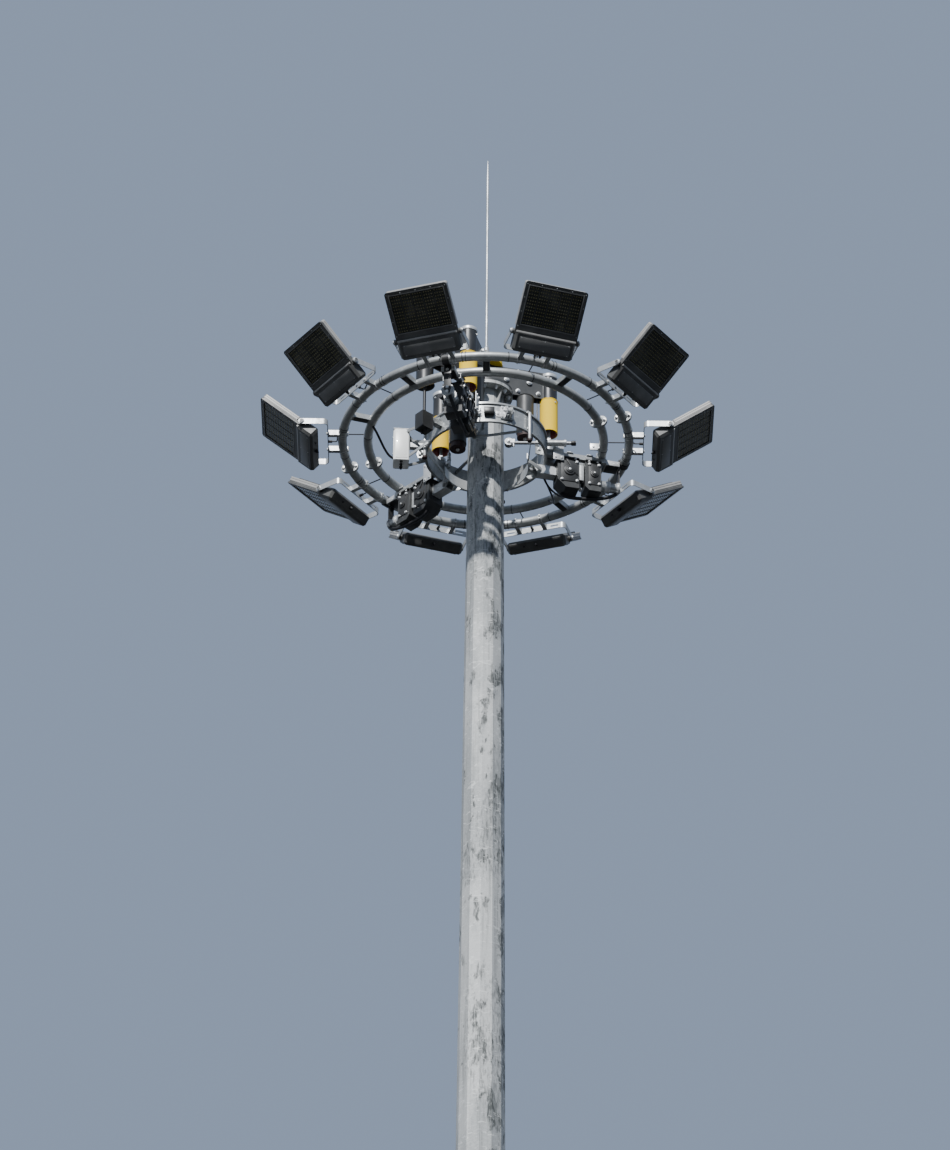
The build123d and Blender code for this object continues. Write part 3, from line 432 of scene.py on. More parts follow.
class Finish(Enum):
    """Finishes of this mast: the record's material slots, then those of small pieces alone."""

    galvanised_pole = Zinc(
        "zinc_pole", (0.50, 0.51, 0.50), (0.33, 0.345, 0.345), (0.065, 0.072, 0.070), 1.28, 0.80, 0.6,
        0.2, 0.52, 0.38,
    )
    galvanised_ring = Zinc(
        "zinc_ring", (0.47, 0.485, 0.48), (0.33, 0.345, 0.345), (0.14, 0.15, 0.145), 0.25, 0.2
    )
    galvanised_fitting = Zinc(
        "zinc_fitting", (0.44, 0.455, 0.455), (0.29, 0.305, 0.31), (0.11, 0.115, 0.115), 0.4, 0.2
    )
    galvanised_yoke = Zinc(
        "zinc_yoke", (0.50, 0.515, 0.52), (0.36, 0.375, 0.38), (0.15, 0.155, 0.155), 0.2, 0.1
    )
    dark_steel = Paint("dark_paint", (0.040, 0.042, 0.043), (0.12, 0.122, 0.12), 0.3, 0.45)
    rope_steel = Rope("wire_rope", (0.40, 0.41, 0.42), (0.10, 0.10, 0.105))
    rod_steel = Zinc("rod_zinc", (0.56, 0.58, 0.59), (0.38, 0.40, 0.41), (0.2, 0.2, 0.2), 0.2, 0.1)
    guide_steel = Zinc("guide_zinc", (0.38, 0.39, 0.40), (0.22, 0.23, 0.24), (0.07, 0.07, 0.07), 0.5, 0.1)
    black_cable = Moulded("cable_sheath", (0.012, 0.012, 0.014), (0.04, 0.04, 0.045), 0.5)
    black_tube = Moulded("black_tube", (0.018, 0.019, 0.021), (0.05, 0.052, 0.055), 0.38)
    yellow_sleeve = Moulded("yellow_sleeve", (0.93, 0.60, 0.012), (0.93, 0.65, 0.035), 0.78)
    yellow_cap = Moulded("yellow_cap", (0.95, 0.66, 0.020), (0.95, 0.70, 0.060), 0.78)
    buffer_rubber = Moulded("buffer_rubber", (0.026, 0.011, 0.010), (0.055, 0.028, 0.025), 0.6)
    # Also worn by the thin sheets under the spacer bars, as painted shade.
    dark_box = Paint("box_paint_and_shade", (0.022, 0.023, 0.024), (0.11, 0.11, 0.11), 0.3, 0.4)
    white_box = Paint("white_paint", (0.92, 0.93, 0.92), (0.74, 0.74, 0.70), 0.22, 0.3, 0.3)
    # The lamp body's colour is darker than its grey paint: painted shade over its faces and undersides, on
    # top of the paint's own grey.
    flood_body = Paint("grey_coat_and_shade", (0.085, 0.085, 0.082), (0.20, 0.20, 0.19), 0.4, 0.42)
    flood_glass = Pane("flood_pane", (0.036, 0.037, 0.032), (0.12, 0.12, 0.105))
    sleeve_liner = Moulded("sleeve_liner", (0.28, 0.085, 0.080), (0.34, 0.13, 0.12), 0.6)
    bright_bolt = Zinc("zinc_bolt", (0.82, 0.83, 0.83), (0.66, 0.67, 0.67), (0.40, 0.40, 0.39), 0.1, 0.05)
    bright_rim = Zinc("zinc_bright", (0.66, 0.67, 0.67), (0.50, 0.52, 0.52), (0.28, 0.28, 0.27), 0.15, 0.08)
    # Also worn by the thin sheets under the carriage end boxes, as painted shade.
    dark_cover = Paint("cover_paint_and_shade", (0.028, 0.029, 0.030), (0.12, 0.12, 0.118), 0.35, 0.42)
    flood_trim = Paint("trim_coat", (0.155, 0.155, 0.150), (0.34, 0.34, 0.33), 0.3, 0.4)
    # A lighter copy of the lamp paint for the wall and ridge: painted highlight of their sunlit edges.
    flood_rim = Paint("rim_painted_highlight", (0.34, 0.335, 0.32), (0.50, 0.49, 0.47), 0.35, 0.4)
    light_source = Moulded("lens_resin", (0.17, 0.155, 0.07), (0.26, 0.24, 0.14), 0.25)
    strip_divider = Paint("divider_paint", (0.060, 0.060, 0.056), (0.14, 0.14, 0.13), 0.25, 0.45)
    floor_paint = Paint("pale_floor", (0.80, 0.81, 0.82), (0.74, 0.75, 0.76), 0.3, 0.7)


class Paintshop:
    """Makes each finish once and hands it out."""

    def __init__(self) -> None:
        """Start with no finish made."""
        self.made: dict[Finish, bpy.types.Material] = {}

    def get(self, finish: Finish) -> bpy.types.Material:
        """Material of a finish.

        Args:
            finish: Finish that is wanted.

        Returns:
            Its material, made on first use.
        """
        if finish not in self.made:
            self.made[finish] = finish.value.build()
        return self.made[finish]

    def dress_frame(self) -> None:
        """Give every solid of the frame the finish of its material slot."""
        slots = {row["node"]: row["material_slot"] for row in frame["record"]["subparts"]}
        for node, solid in frame["nodes"].items():
            solid.data.materials.clear()
            solid.data.materials.append(self.get(Finish[slots[node]]))


@dataclass
class Camera:
    """Camera at the photograph's place, looking up at the head."""

    image_height: float = 1150.0
    image_width: float = 950.0
    film: float = 36.0
    focal: float = 5490.0
    reach: float = 31.4
    eye: float = 1.6
    target_column: float = 484.6
    target_row: float = 442.6
    roll: float = 0.5
    clip_end: float = 500.0

    def build(self) -> None:
        """Place the camera so that the ring's centre falls on its pixel."""
        data = bpy.data.cameras.new("view")
        data.sensor_fit = "AUTO"
        data.sensor_width = self.film
        data.lens = self.focal * self.film / self.image_height
        data.clip_end = self.clip_end
        camera = bpy.data.objects.new("view", data)
        bpy.context.scene.collection.objects.link(camera)
        rise = math.atan2(RING_LEVEL - self.eye, self.reach)
        up = math.atan2(self.image_height / 2 - self.target_row, self.focal)
        side = math.atan2(self.target_column - self.image_width / 2, self.focal)
        turn = Matrix.Rotation(side / math.cos(rise), 4, "Z")
        tilt = Matrix.Rotation(math.pi / 2 + rise - up, 4, "X")
        camera.matrix_world = moved(0.0, -self.reach, self.eye) @ turn @ tilt @ spun(self.roll)
        bpy.context.scene.camera = camera


@dataclass
class Studio:
    """Pale floor and soft light."""

    floor_size: float = 9.0
    sky: Colour = (0.45, 0.57, 0.79)
    haze: Colour = (0.26, 0.29, 0.33)
    ground: Colour = (0.045, 0.047, 0.050)
    strength: float = 0.60
    suns: tuple[tuple[str, float, float, Spot], ...] = (
        ("key", 5.8, 1.2, (50.0, 0.0, -12.0)), ("fill", 0.3, 60.0, (75.0, 0.0, -70.0)),
    )

    def build(self, paintshop: Paintshop) -> None:
        """Make the floor, the sky's light and the lamps.

        Args:
            paintshop: Source of the floor's material.
        """
        self._floor(paintshop)
        self._sky()
        for name, power, softness, turn in self.suns:
            data = bpy.data.lights.new(name, "SUN")
            data.energy = power
            data.angle = math.radians(softness)
            lamp = bpy.data.objects.new(name, data)
            lamp.rotation_euler = [math.radians(part) for part in turn]
            bpy.context.scene.collection.objects.link(lamp)

    def _floor(self, paintshop: Paintshop) -> None:
        """Make the floor.

        Args:
            paintshop: Source of its material.
        """
        mesh = bmesh.new()
        bmesh.ops.create_grid(mesh, x_segments=1, y_segments=1, size=self.floor_size / 2)
        data = bpy.data.meshes.new("floor")
        mesh.to_mesh(data)
        mesh.free()
        floor = bpy.data.objects.new("floor", data)
        data.materials.append(paintshop.get(Finish.floor_paint))
        bpy.context.scene.collection.objects.link(floor)

    def _sky(self) -> None:
        """Light the scene from all round, from the dark ground up to the blue of the sky."""
        world = bpy.data.worlds.new("studio")
        world.use_nodes = True
        tree = world.node_tree
        background = tree.nodes["Background"]
        background.inputs["Strength"].default_value = self.strength
        direction = tree.nodes.new("ShaderNodeTexCoord")
        split = tree.nodes.new("ShaderNodeSeparateXYZ")
        ramp = tree.nodes.new("ShaderNodeValToRGB")
        height = tree.nodes.new("ShaderNodeMapRange")
        height.inputs["From Min"].default_value = -1.0
        self._set_stops(ramp, ((0.0, self.ground), (0.22, self.ground), (0.42, self.haze), (0.56, self.sky)))
        tree.links.new(direction.outputs["Generated"], split.inputs[0])
        tree.links.new(split.outputs["Z"], height.inputs[0])
        tree.links.new(height.outputs[0], ramp.inputs[0])
        tree.links.new(ramp.outputs[0], background.inputs["Color"])
        bpy.context.scene.world = world

    @staticmethod
    def _set_stops(ramp: bpy.types.Node, stops: Sequence[Stop]) -> None:
        """Give a colour ramp its stops.

        Args:
            ramp: Ramp to set.
            stops: Place and colour of each stop.
        """
        elements = ramp.color_ramp.elements
        while len(elements) < len(stops):
            elements.new(1.0)
        for element, (place, colour) in zip(elements, stops):
            element.position = place
            element.color = (*colour, 1.0)


def spun(angle: float) -> Matrix:
    """Turn about the upright axis by an angle in degrees."""
    return Matrix.Rotation(math.radians(angle), 4, "Z")


def moved(x: float = 0.0, y: float = 0.0, z: float = 0.0) -> Matrix:
    """Shift along the axes."""
    return Matrix.Translation((x, y, z))


def polar(angle: float, reach: float, height: float) -> Vector:
    """Point at an angle in degrees, a distance and a height."""
    return spun(angle) @ Vector((reach, 0.0, height))


def corner(index: int) -> float:
    """Direction of one of the mast's corners, in degrees."""
    return FIRST_CORNER + 360.0 / MAST_SIDES * index


def flat(inner: float, outer: float, low: float, high: float) -> tuple[Corner, ...]:
    """Outline of a flat band between two radii and two heights."""
    return (inner, low), (outer, low), (outer, high), (inner, high)


class Facing(Enum):
    """Direction that a fastener's axis points in, in the radial frame of its place."""

    up = Matrix.Identity(4)
    down = Matrix.Rotation(math.pi, 4, "X")
    outward = Matrix.Rotation(math.pi / 2, 4, "Y")
    inward = Matrix.Rotation(-math.pi / 2, 4, "Y")
    left = Matrix.Rotation(-math.pi / 2, 4, "X")
    right = Matrix.Rotation(math.pi / 2, 4, "X")


def at(
    base: Matrix | float, x: float = 0.0, y: float = 0.0, z: float = 0.0, facing: Facing = Facing.up,
) -> Matrix:
    """Place shifted and faced in a frame, or in a direction in degrees from the mast's axis."""
    start = base if isinstance(base, Matrix) else spun(base)
    return start @ moved(x, y, z) @ facing.value


def mirrored(spot: Spot) -> tuple[Spot, Spot]:
    """A place and its mirror image on the other side of the radial plane."""
    return spot, (spot[0], -spot[1], spot[2])


def cheeks(base: Matrix | float, x: float, half: float, z: float) -> tuple[Matrix, Matrix]:
    """Places on both sides of a part, half its width from its middle, pointing away from it."""
    return at(base, x, half, z, Facing.left), at(base, x, -half, z, Facing.right)


class Shape:
    """Mesh under construction, from turned and cut primitives."""

    def __init__(self) -> None:
        """Start empty."""
        self.mesh = bmesh.new()

    def _round(self, vertices: Iterable[bmesh.types.BMVert], size: float, ends: int = 0) -> None:
        """Round the edges of one primitive.

        Args:
            vertices: Its vertices.
            size: Width of the rounding.
            ends: Corners of its end faces, where only their edges are rounded.
        """
        edges = {edge for vertex in vertices for edge in vertex.link_edges}
        if ends:
            edges = {edge for edge in edges if any(len(face.verts) == ends for face in edge.link_faces)}
        bmesh.ops.bevel(
            self.mesh, geom=list(edges), offset=size, offset_type="OFFSET", affect="EDGES", segments=2,
            profile=0.5, material=-1,
        )

    def drum(
        self, place: Matrix, radius: float, height: float, sides: int = 24, rim: float = 0.0,
        top: float | None = None,
    ) -> None:
        """Add a closed cylinder or cone that stands on its place.

        Args:
            place: Transform of its foot.
            radius: Radius at the foot.
            height: Height.
            sides: Facets.
            rim: Rounding of both rims.
            top: Radius at the top, when it differs.
        """
        made = bmesh.ops.create_cone(
            self.mesh, cap_ends=True, cap_tris=False, segments=sides, radius1=radius,
            radius2=radius if top is None else top, depth=height, matrix=at(place, z=height / 2),
        )
        if rim:
            self._round(made["verts"], rim, sides)

    def turned(self, place: Matrix, fitting: "Turned") -> None:
        """Add a turned fitting."""
        for lift, *step in fitting.value:
            self.drum(at(place, z=lift), *step)

    def block(self, place: Matrix, size: Sequence[float], rim: float) -> None:
        """Add a box centred on its place."""
        made = bmesh.ops.create_cube(self.mesh, size=1.0, matrix=place @ Matrix.Diagonal((*size, 1.0)))
        self._round(made["verts"], rim)

    def bolt(self, place: Matrix, radius: float, proud: float = 0.0, washer: bool = True) -> None:
        """Add a hexagon head on a washer, with an end of thread where it stands proud.

        Args:
            place: Transform of the face it sits on, its axis along Z.
            radius: Radius of the shank.
            proud: Thread that stands out past the nut.
            washer: Whether a washer lies under it.
        """
        lift = 0.3 * radius if washer else 0.0
        if washer:
            self.drum(place, 2.1 * radius, lift, 20)
        self.drum(at(place, z=lift), 1.75 * radius, 1.35 * radius, 6, 0.12 * radius)
        if proud:
            self.drum(at(place, z=lift + 1.3 * radius), radius, proud, 14, 0.15 * radius)

    def through(self, place: Matrix, half: float, radius: float, proud: float) -> None:
        """Add a bolt head on one side of a part and a nut on the other.

        Args:
            place: Transform of the middle between them.
            half: Half the width over both sides.
            radius: Radius of the shank.
            proud: Thread that stands out past the nut.
        """
        head, nut = cheeks(place, 0.0, half, 0.0)
        self.bolt(head, radius)
        self.bolt(nut, radius, proud)

    def sweep_ring(self, profile: Sequence[Corner], steps: int, place: Matrix, turn: float = 360.0) -> None:
        """Turn a closed outline about the upright axis of a place.

        Args:
            profile: Reach and height of each corner.
            steps: Steps of the sweep.
            place: Transform of the axis.
            turn: Angle swept, in degrees.
        """
        part = bmesh.new()
        corners = [part.verts.new((reach, 0.0, height)) for reach, height in profile]
        outline = [part.edges.new(pair) for pair in zip(corners, corners[1:] + corners[:1])]
        full = turn >= 360.0
        bmesh.ops.spin(
            part, geom=corners + outline, cent=(0.0, 0.0, 0.0), axis=(0.0, 0.0, 1.0),
            angle=math.radians(turn), steps=steps, use_merge=full, use_duplicate=False,
        )
        bmesh.ops.remove_doubles(part, verts=list(part.verts), dist=1e-6)
        if not full:
            bmesh.ops.holes_fill(part, edges=list(part.edges), sides=0)
        self._take(part, place)

    def slab(self, place: Matrix, kind: "Slab") -> None:
        """Add a box of a named size."""
        *size, rim = kind.value
        self.block(place, size, rim)

    def band(self, place: Matrix, kind: "Band") -> None:
        """Add a flat band round the upright axis of a place."""
        inner, outer, low, high, steps = kind.value
        self.sweep_ring(flat(inner, outer, low, high), steps, place)

    def prism(self, place: Matrix, outline: Sequence[Corner], length: float) -> None:
        """Add a closed bar with the same outline all along, centred on its place.

        Args:
            place: Transform of its middle, the bar lying along Y.
            outline: X and Z of each corner.
            length: Length.
        """
        part = bmesh.new()
        face = part.faces.new([part.verts.new((x, -length / 2, z)) for x, z in outline])
        drawn = bmesh.ops.extrude_face_region(part, geom=[face])["geom"]
        far = [item for item in drawn if isinstance(item, bmesh.types.BMVert)]
        bmesh.ops.translate(part, vec=(0.0, length, 0.0), verts=far)
        self._take(part, place)

    def strut(self, start: Vector, end: Vector, width: float, thickness: float) -> None:
        """Add a flat bar between two points, its width upright.

        Args:
            start: Middle of one end.
            end: Middle of the other end.
            width: Width.
            thickness: Thickness.
        """
        along = end - start
        place = Matrix.Translation((start + end) / 2) @ along.to_track_quat("X", "Z").to_matrix().to_4x4()
        self.block(place, (along.length, thickness, width), min(width, thickness) * 0.2)

    def hose(self, points: Sequence[Vector], radius: float) -> None:
        """Add a closed round bar along a smooth line.

        Args:
            points: Points that shape the line.
            radius: Radius of the bar.
        """
        line = bpy.data.curves.new("line", "CURVE")
        line.dimensions = "3D"
        line.bevel_depth = radius
        line.bevel_resolution = 4
        line.use_fill_caps = True
        spline = line.splines.new("NURBS")
        spline.points.add(len(points) - 1)
        for point, spot in zip(spline.points, points):
            point.co = (*spot, 1.0)
        spline.order_u = min(4, len(points))
        spline.use_endpoint_u = True
        spline.resolution_u = 8
        holder = bpy.data.objects.new("line", line)
        data = bpy.data.meshes.new_from_object(holder)
        part = bmesh.new()
        part.from_mesh(data)
        bmesh.ops.remove_doubles(part, verts=list(part.verts), dist=1e-6)
        bpy.data.objects.remove(holder)
        bpy.data.curves.remove(line)
        bpy.data.meshes.remove(data)
        self._take(part, Matrix.Identity(4))

    def twist(self, place: Matrix, radius: float, height: float, strands: int) -> None:
        """Add a closed upright rope whose strands wind round it.

        Args:
            place: Transform of its foot.
            radius: Radius over the strands.
            height: Length.
            strands: Number of strands.
        """
        part = bmesh.new()
        bmesh.ops.create_circle(part, cap_ends=False, segments=strands * 4, radius=1.0)
        for vertex in part.verts:
            turn = math.atan2(vertex.co.y, vertex.co.x)
            vertex.co *= radius * (0.90 + 0.10 * math.cos(strands * turn))
        rows = max(8, round(height / 0.006))
        bmesh.ops.spin(
            part, geom=list(part.verts) + list(part.edges), cent=(0.0, 0.0, 0.0), axis=(0.0, 0.0, 1.0),
            dvec=(0.0, 0.0, height / rows), angle=2 * math.pi * height / (radius * 14.0), steps=rows,
            use_merge=False, use_duplicate=False,
        )
        bmesh.ops.holes_fill(part, edges=list(part.edges), sides=0)
        self._take(part, place)

    def _take(self, part: bmesh.types.BMesh, place: Matrix) -> None:
        """Move a loose part to its place and add it to this shape.

        Args:
            part: Part, used up here.
            place: Its transform.
        """
        bmesh.ops.transform(part, matrix=place, verts=list(part.verts))
        data = bpy.data.meshes.new("part")
        part.to_mesh(data)
        part.free()
        self.mesh.from_mesh(data)
        bpy.data.meshes.remove(data)


class Turned(Enum):
    """Turned fittings: lift, radius, height, sides, rim and, where it tapers, top radius of each step."""

    anchor_nut = (
        (0.0, 0.036, 0.005, 28, 0.001), (0.005, 0.0318, 0.029, 6, 0.002), (0.050, 0.018, 0.035, 20, 0.002),
    )
    anchor_lock_nut = ((0.034, 0.0318, 0.018, 6, 0.002),)
    door_lock = ((0.0, 0.021, 0.006, 28, 0.0015), (0.006, 0.012, 0.005, 3, 0.001))
    door_screw = ((0.0, 0.009, 0.0045, 20, 0.001),)
    pin_cap = ((0.0, 0.019, 0.003, 24, 0.0008), (0.003, 0.014, 0.007, 6, 0.0012))
    latch_bar = ((0.0, 0.0065, 0.132, 16, 0.001),)
    latch_weld = ((0.0, 0.0042, 0.226, 8),)
    socket_screw = ((0.0, 0.005, 0.009, 6, 0.0006),)
    rod_nut = ((0.0, 0.017, 0.010, 6, 0.0015), (0.010, 0.012, 0.006, 24, 0.001))
    strap_nut = ((0.0, 0.0062, 0.007, 6, 0.0006),)
    pivot_washer = ((0.0, 0.0205, 0.0028, 28, 0.0008), (0.0028, 0.0165, 0.0062, 20, 0.0012, 0.0150))
    lens = ((0.0, 0.0052, 0.0016, 8, 0.0, 0.0030),)
    frame_screw = ((0.0, 0.0042, 0.0020, 12, 0.0, 0.0032),)
    lamp_gland = (
        (0.0, 0.0125, 0.005, 24, 0.0008), (0.005, 0.0115, 0.010, 6, 0.001),
        (0.015, 0.0085, 0.010, 20, 0.0, 0.0060),
    )
    breather = ((0.0, 0.0080, 0.004, 6, 0.0008),)
    shoe_neck = ((0.0, 0.0170, 0.036, 24, 0.002),)
    clevis_rod = ((0.0, 0.0080, 0.222, 20, 0.0015),)
    clevis_nut = ((0.0, 0.0150, 0.010, 6, 0.0012),)
    post_nut = ((0.0, 0.0215, 0.016, 6, 0.0015),)
    post_lock_nut = ((0.016, 0.0205, 0.009, 6, 0.0012),)
    band_post = ((0.0, 0.0110, 0.232, 20, 0.002),)
    post_buffer = ((-0.016, 0.0190, 0.022, 28, 0.007),)
    rope_socket = (
        (-0.002, 0.0150, 0.012, 24, 0.002), (0.018, 0.0135, 0.014, 24, 0.003),
        (0.048, 0.0135, 0.013, 24, 0.0, 0.0070),
    )
    casting_bush = ((0.0, 0.0200, 0.026, 28, 0.002),)
    nipple = ((0.0, 0.0050, 0.006, 6, 0.0005), (0.006, 0.0030, 0.006, 12, 0.001))
    fork_pin = ((0.0, 0.0105, 0.003, 20, 0.0006), (0.0025, 0.0085, 0.006, 6, 0.0008))
    box_gland = ((0.0, 0.0130, 0.006, 6, 0.001), (0.006, 0.0105, 0.014, 20, 0.0, 0.0075))
    box_screw = ((0.0, 0.0045, 0.0022, 16, 0.0, 0.0035),)
    box_lock = ((0.0, 0.0090, 0.0040, 24, 0.0008),)
    lid_screw = ((0.0, 0.0040, 0.0024, 16, 0.0, 0.0030),)


class Outline(Enum):
    """Closed outlines: reach and height of each corner, or X and Z where a prism has them."""

    latch_rim = (
        (0.0535, 25.214), (0.0620, 25.214), (0.0635, 25.217),
        (0.0635, 25.238), (0.0620, 25.241), (0.0535, 25.241),
    )
    sleeve_bead = ((0.0615, 25.0140), (0.0660, 25.0150), (0.0660, 25.0190), (0.0615, 25.0200))
    sleeve_liner = (
        (0.0588, 24.7388), (0.0592, 24.7400), (0.0592, 24.7596), (0.0542, 24.7600),
        (0.0542, 24.9800), (0.0526, 24.9800), (0.0526, 24.7580), (0.0565, 24.7400),
    )
    buffer_weld = ((0.0615, 25.012), (0.0670, 25.020), (0.0615, 25.020))
    buffer_bead = ((0.0620, 24.712), (0.0632, 24.714), (0.0632, 24.722), (0.0620, 24.724))
    rod_collar = ((0.0190, 25.340), (0.0290, 25.3425), (0.0290, 25.3465), (0.0215, 25.3485), (0.0190, 25.360))
    ring_weld = ((0.0310, 0.0), (0.0375, 0.0), (0.0345, 0.005), (0.0310, 0.007))
    lamp_wall = (
        (0.0110, -0.0010), (0.0150, -0.0010), (0.0165, 0.0010), (0.0165, 0.0090), (0.0145, 0.0110),
        (0.0145, 0.0150), (0.0165, 0.0170), (0.0165, 0.0270), (0.0150, 0.0290), (0.0110, 0.0290),
    )
    lamp_ridge = (
        (0.0000, -0.0250), (0.0150, -0.0250), (0.0158, -0.0310),
        (0.0150, -0.0370), (0.0060, -0.0400), (0.0, -0.0370),
    )
    post_foot = ((0.0355, 24.5640), (0.0440, 24.5640), (0.0430, 24.5690), (0.0355, 24.5730))
    post_head = ((0.0355, 24.6440), (0.0385, 24.6440), (0.0385, 24.6680), (0.0355, 24.6705))
    casting_lug = (
        (0.4300, -0.0500), (0.4300, 0.0380), (0.4560, 0.0400), (0.4860, 0.0220), (0.4960, -0.0060),
        (0.4860, -0.0360), (0.4600, -0.0560),
    )
    guide_gland = ((0.0220, 0.0), (0.0262, 0.0), (0.0262, 0.016), (0.0140, 0.0185), (0.0140, 0.0))
    guide_cap = (
        (0.0120, 0.0), (0.0165, 0.003), (0.0185, 0.008), (0.0185, 0.032), (0.0165, 0.0362), (0.0, 0.0366),
    )


class Slab(Enum):
    """Boxes: length outward, width, height, then the rounding of the edges."""

    spacer_shade = (0.106, 0.041, 0.0020, 0.0006)
    tie_head = (0.011, 0.010, 0.008, 0.0015)
    lamp_rib = (0.300, 0.0035, 0.0035, 0.001)
    end_box = (0.102, 0.100, 0.040, 0.002)
    end_shade = (0.092, 0.090, 0.003, 0.0008)
    ring_plate = (0.076, 0.010, 0.056, 0.0015)
    ring_plate_foot = (0.030, 0.040, 0.006, 0.001)
    end_cover = (0.105, 0.090, 0.004, 0.0012)
    foot_cover = (0.070, 0.100, 0.004, 0.0012)
    clevis_cheek = (0.030, 0.006, 0.130, 0.0015)
    clip_plate = (0.046, 0.060, 0.005, 0.001)
    post_plate = (0.078, 0.005, 0.156, 0.0015)
    post_bridge = (0.034, 0.027, 0.006, 0.0015)
    hanger = (0.008, 0.052, 0.246, 0.002)
    hanger_head = (0.018, 0.048, 0.030, 0.002)
    post_pad = (0.010, 0.034, 0.018, 0.002)
    band_clip = (0.005, 0.066, 0.048, 0.0012)
    band_box = (0.036, 0.074, 0.052, 0.003)
    band_box_lid = (0.004, 0.062, 0.040, 0.001)
    casting_base = (0.012, 0.092, 0.104, 0.002)
    control_lid = (0.116, 0.126, 0.005, 0.0018)


class Band(Enum):
    """Flat bands round a tube: inner radius, outer radius, lower edge, upper edge, steps."""

    cable_tie = (TUBE_RADIUS - 0.0004, TUBE_RADIUS + 0.0018, -0.0024, 0.0024, 28)
    yoke_strap = (0.0318, 0.0355, -0.0028, 0.0028, 28)
    hanger_collar = (0.0318, 0.0390, -0.024, 0.024, 32)
    inner_strap = (0.0318, 0.0352, -0.012, 0.012, 32)
    near_collar = (0.0400, 0.0462, 0.0, 0.0150, 36)
    far_collar = (0.0400, 0.0462, 0.0, 0.0110, 36)
    stub_sleeve = (0.0350, 0.0405, 0.0, 0.070, 36)
    stub_clip = (0.0350, 0.0405, 0.0, 0.018, 36)


@dataclass
class Yard:
    """Takes orders for pieces and puts them in the scene, each on its body."""

    paintshop: Paintshop
    crease: float = 32.0
    orders: list[tuple[str, Shape, str, str, Finish]] = field(default_factory=list)

    def start(self, name: str, body: str, slot: str, finish: Finish | None = None) -> Shape:
        """Start the shape of a piece that rides on a body.

        Args:
            name: Name of the piece.
            body: Body that carries it.
            slot: The record's material slot that it follows.
            finish: Its finish, where it isn't the slot's own.

        Returns:
            The empty shape, which deliver turns into the piece.
        """
        shape = Shape()
        self.orders.append((name, shape, body, slot, finish or Finish[slot]))
        return shape

    def deliver(self) -> None:
        """Turn every started shape into its piece."""
        for name, shape, body, slot, finish in self.orders:
            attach(self.make(name, shape, slot, finish), body)
        self.orders.clear()

    def make(self, name: str, shape: Shape, slot: str, finish: Finish) -> bpy.types.Object:
        """Turn a shape into an object.

        Args:
            name: Name of the piece.
            shape: Its mesh, used up here.
            slot: The record's material slot that it follows; not used here.
            finish: Its finish.

        Returns:
            The piece, on no body yet.
        """
        bmesh.ops.recalc_face_normals(shape.mesh, faces=list(shape.mesh.faces))
        data = bpy.data.meshes.new(name)
        shape.mesh.to_mesh(data)
        shape.mesh.free()
        data.polygons.foreach_set("use_smooth", [True] * len(data.polygons))
        data.set_sharp_from_angle(angle=math.radians(self.crease))
        data.materials.append(self.paintshop.get(finish))
        piece = bpy.data.objects.new(name, data)
        bpy.context.scene.collection.objects.link(piece)
        LOG.info("%s: %d faces", name, len(data.polygons))
        return piece


@dataclass
class Assembly:
    """Group of small pieces that dresses one part of the mast."""

    yard: Yard

    def build(self) -> None:
        """Make the pieces."""
        raise NotImplementedError


@dataclass
class Foot(Assembly):
    """Anchor nuts and door fittings at the foot of the mast."""

    anchor_reach: float = 0.360
    flange_top: float = 0.040
    lock_nut_turn: float = 17.0
    door_angle: float = 281.0
    door_face: float = 0.2882
    lock_levels: tuple[float, float] = (0.72, 1.38)
    screw_levels: tuple[float, float] = (0.86, 1.24)
    screw_offset: float = 0.102

    def build(self) -> None:
        """Make the anchor nuts and the door's locks and screws."""
        nuts = self.yard.start("anchor_nuts", "mast", "rod_steel")
        for index in range(MAST_SIDES):
            place = at(corner(index), self.anchor_reach, 0.0, self.flange_top)
            nuts.turned(place, Turned.anchor_nut)
            nuts.turned(place @ spun(self.lock_nut_turn), Turned.anchor_lock_nut)
        locks = self.yard.start("door_fasteners", "mast", "rod_steel")
        for level in self.lock_levels:
            locks.turned(at(self.door_angle, self.door_face, 0.0, level, Facing.outward), Turned.door_lock)
        for side, level in product((-1, 1), self.screw_levels):
            place = at(self.door_angle, self.door_face, side * self.screw_offset, level, Facing.outward)
            locks.turned(place, Turned.door_screw)


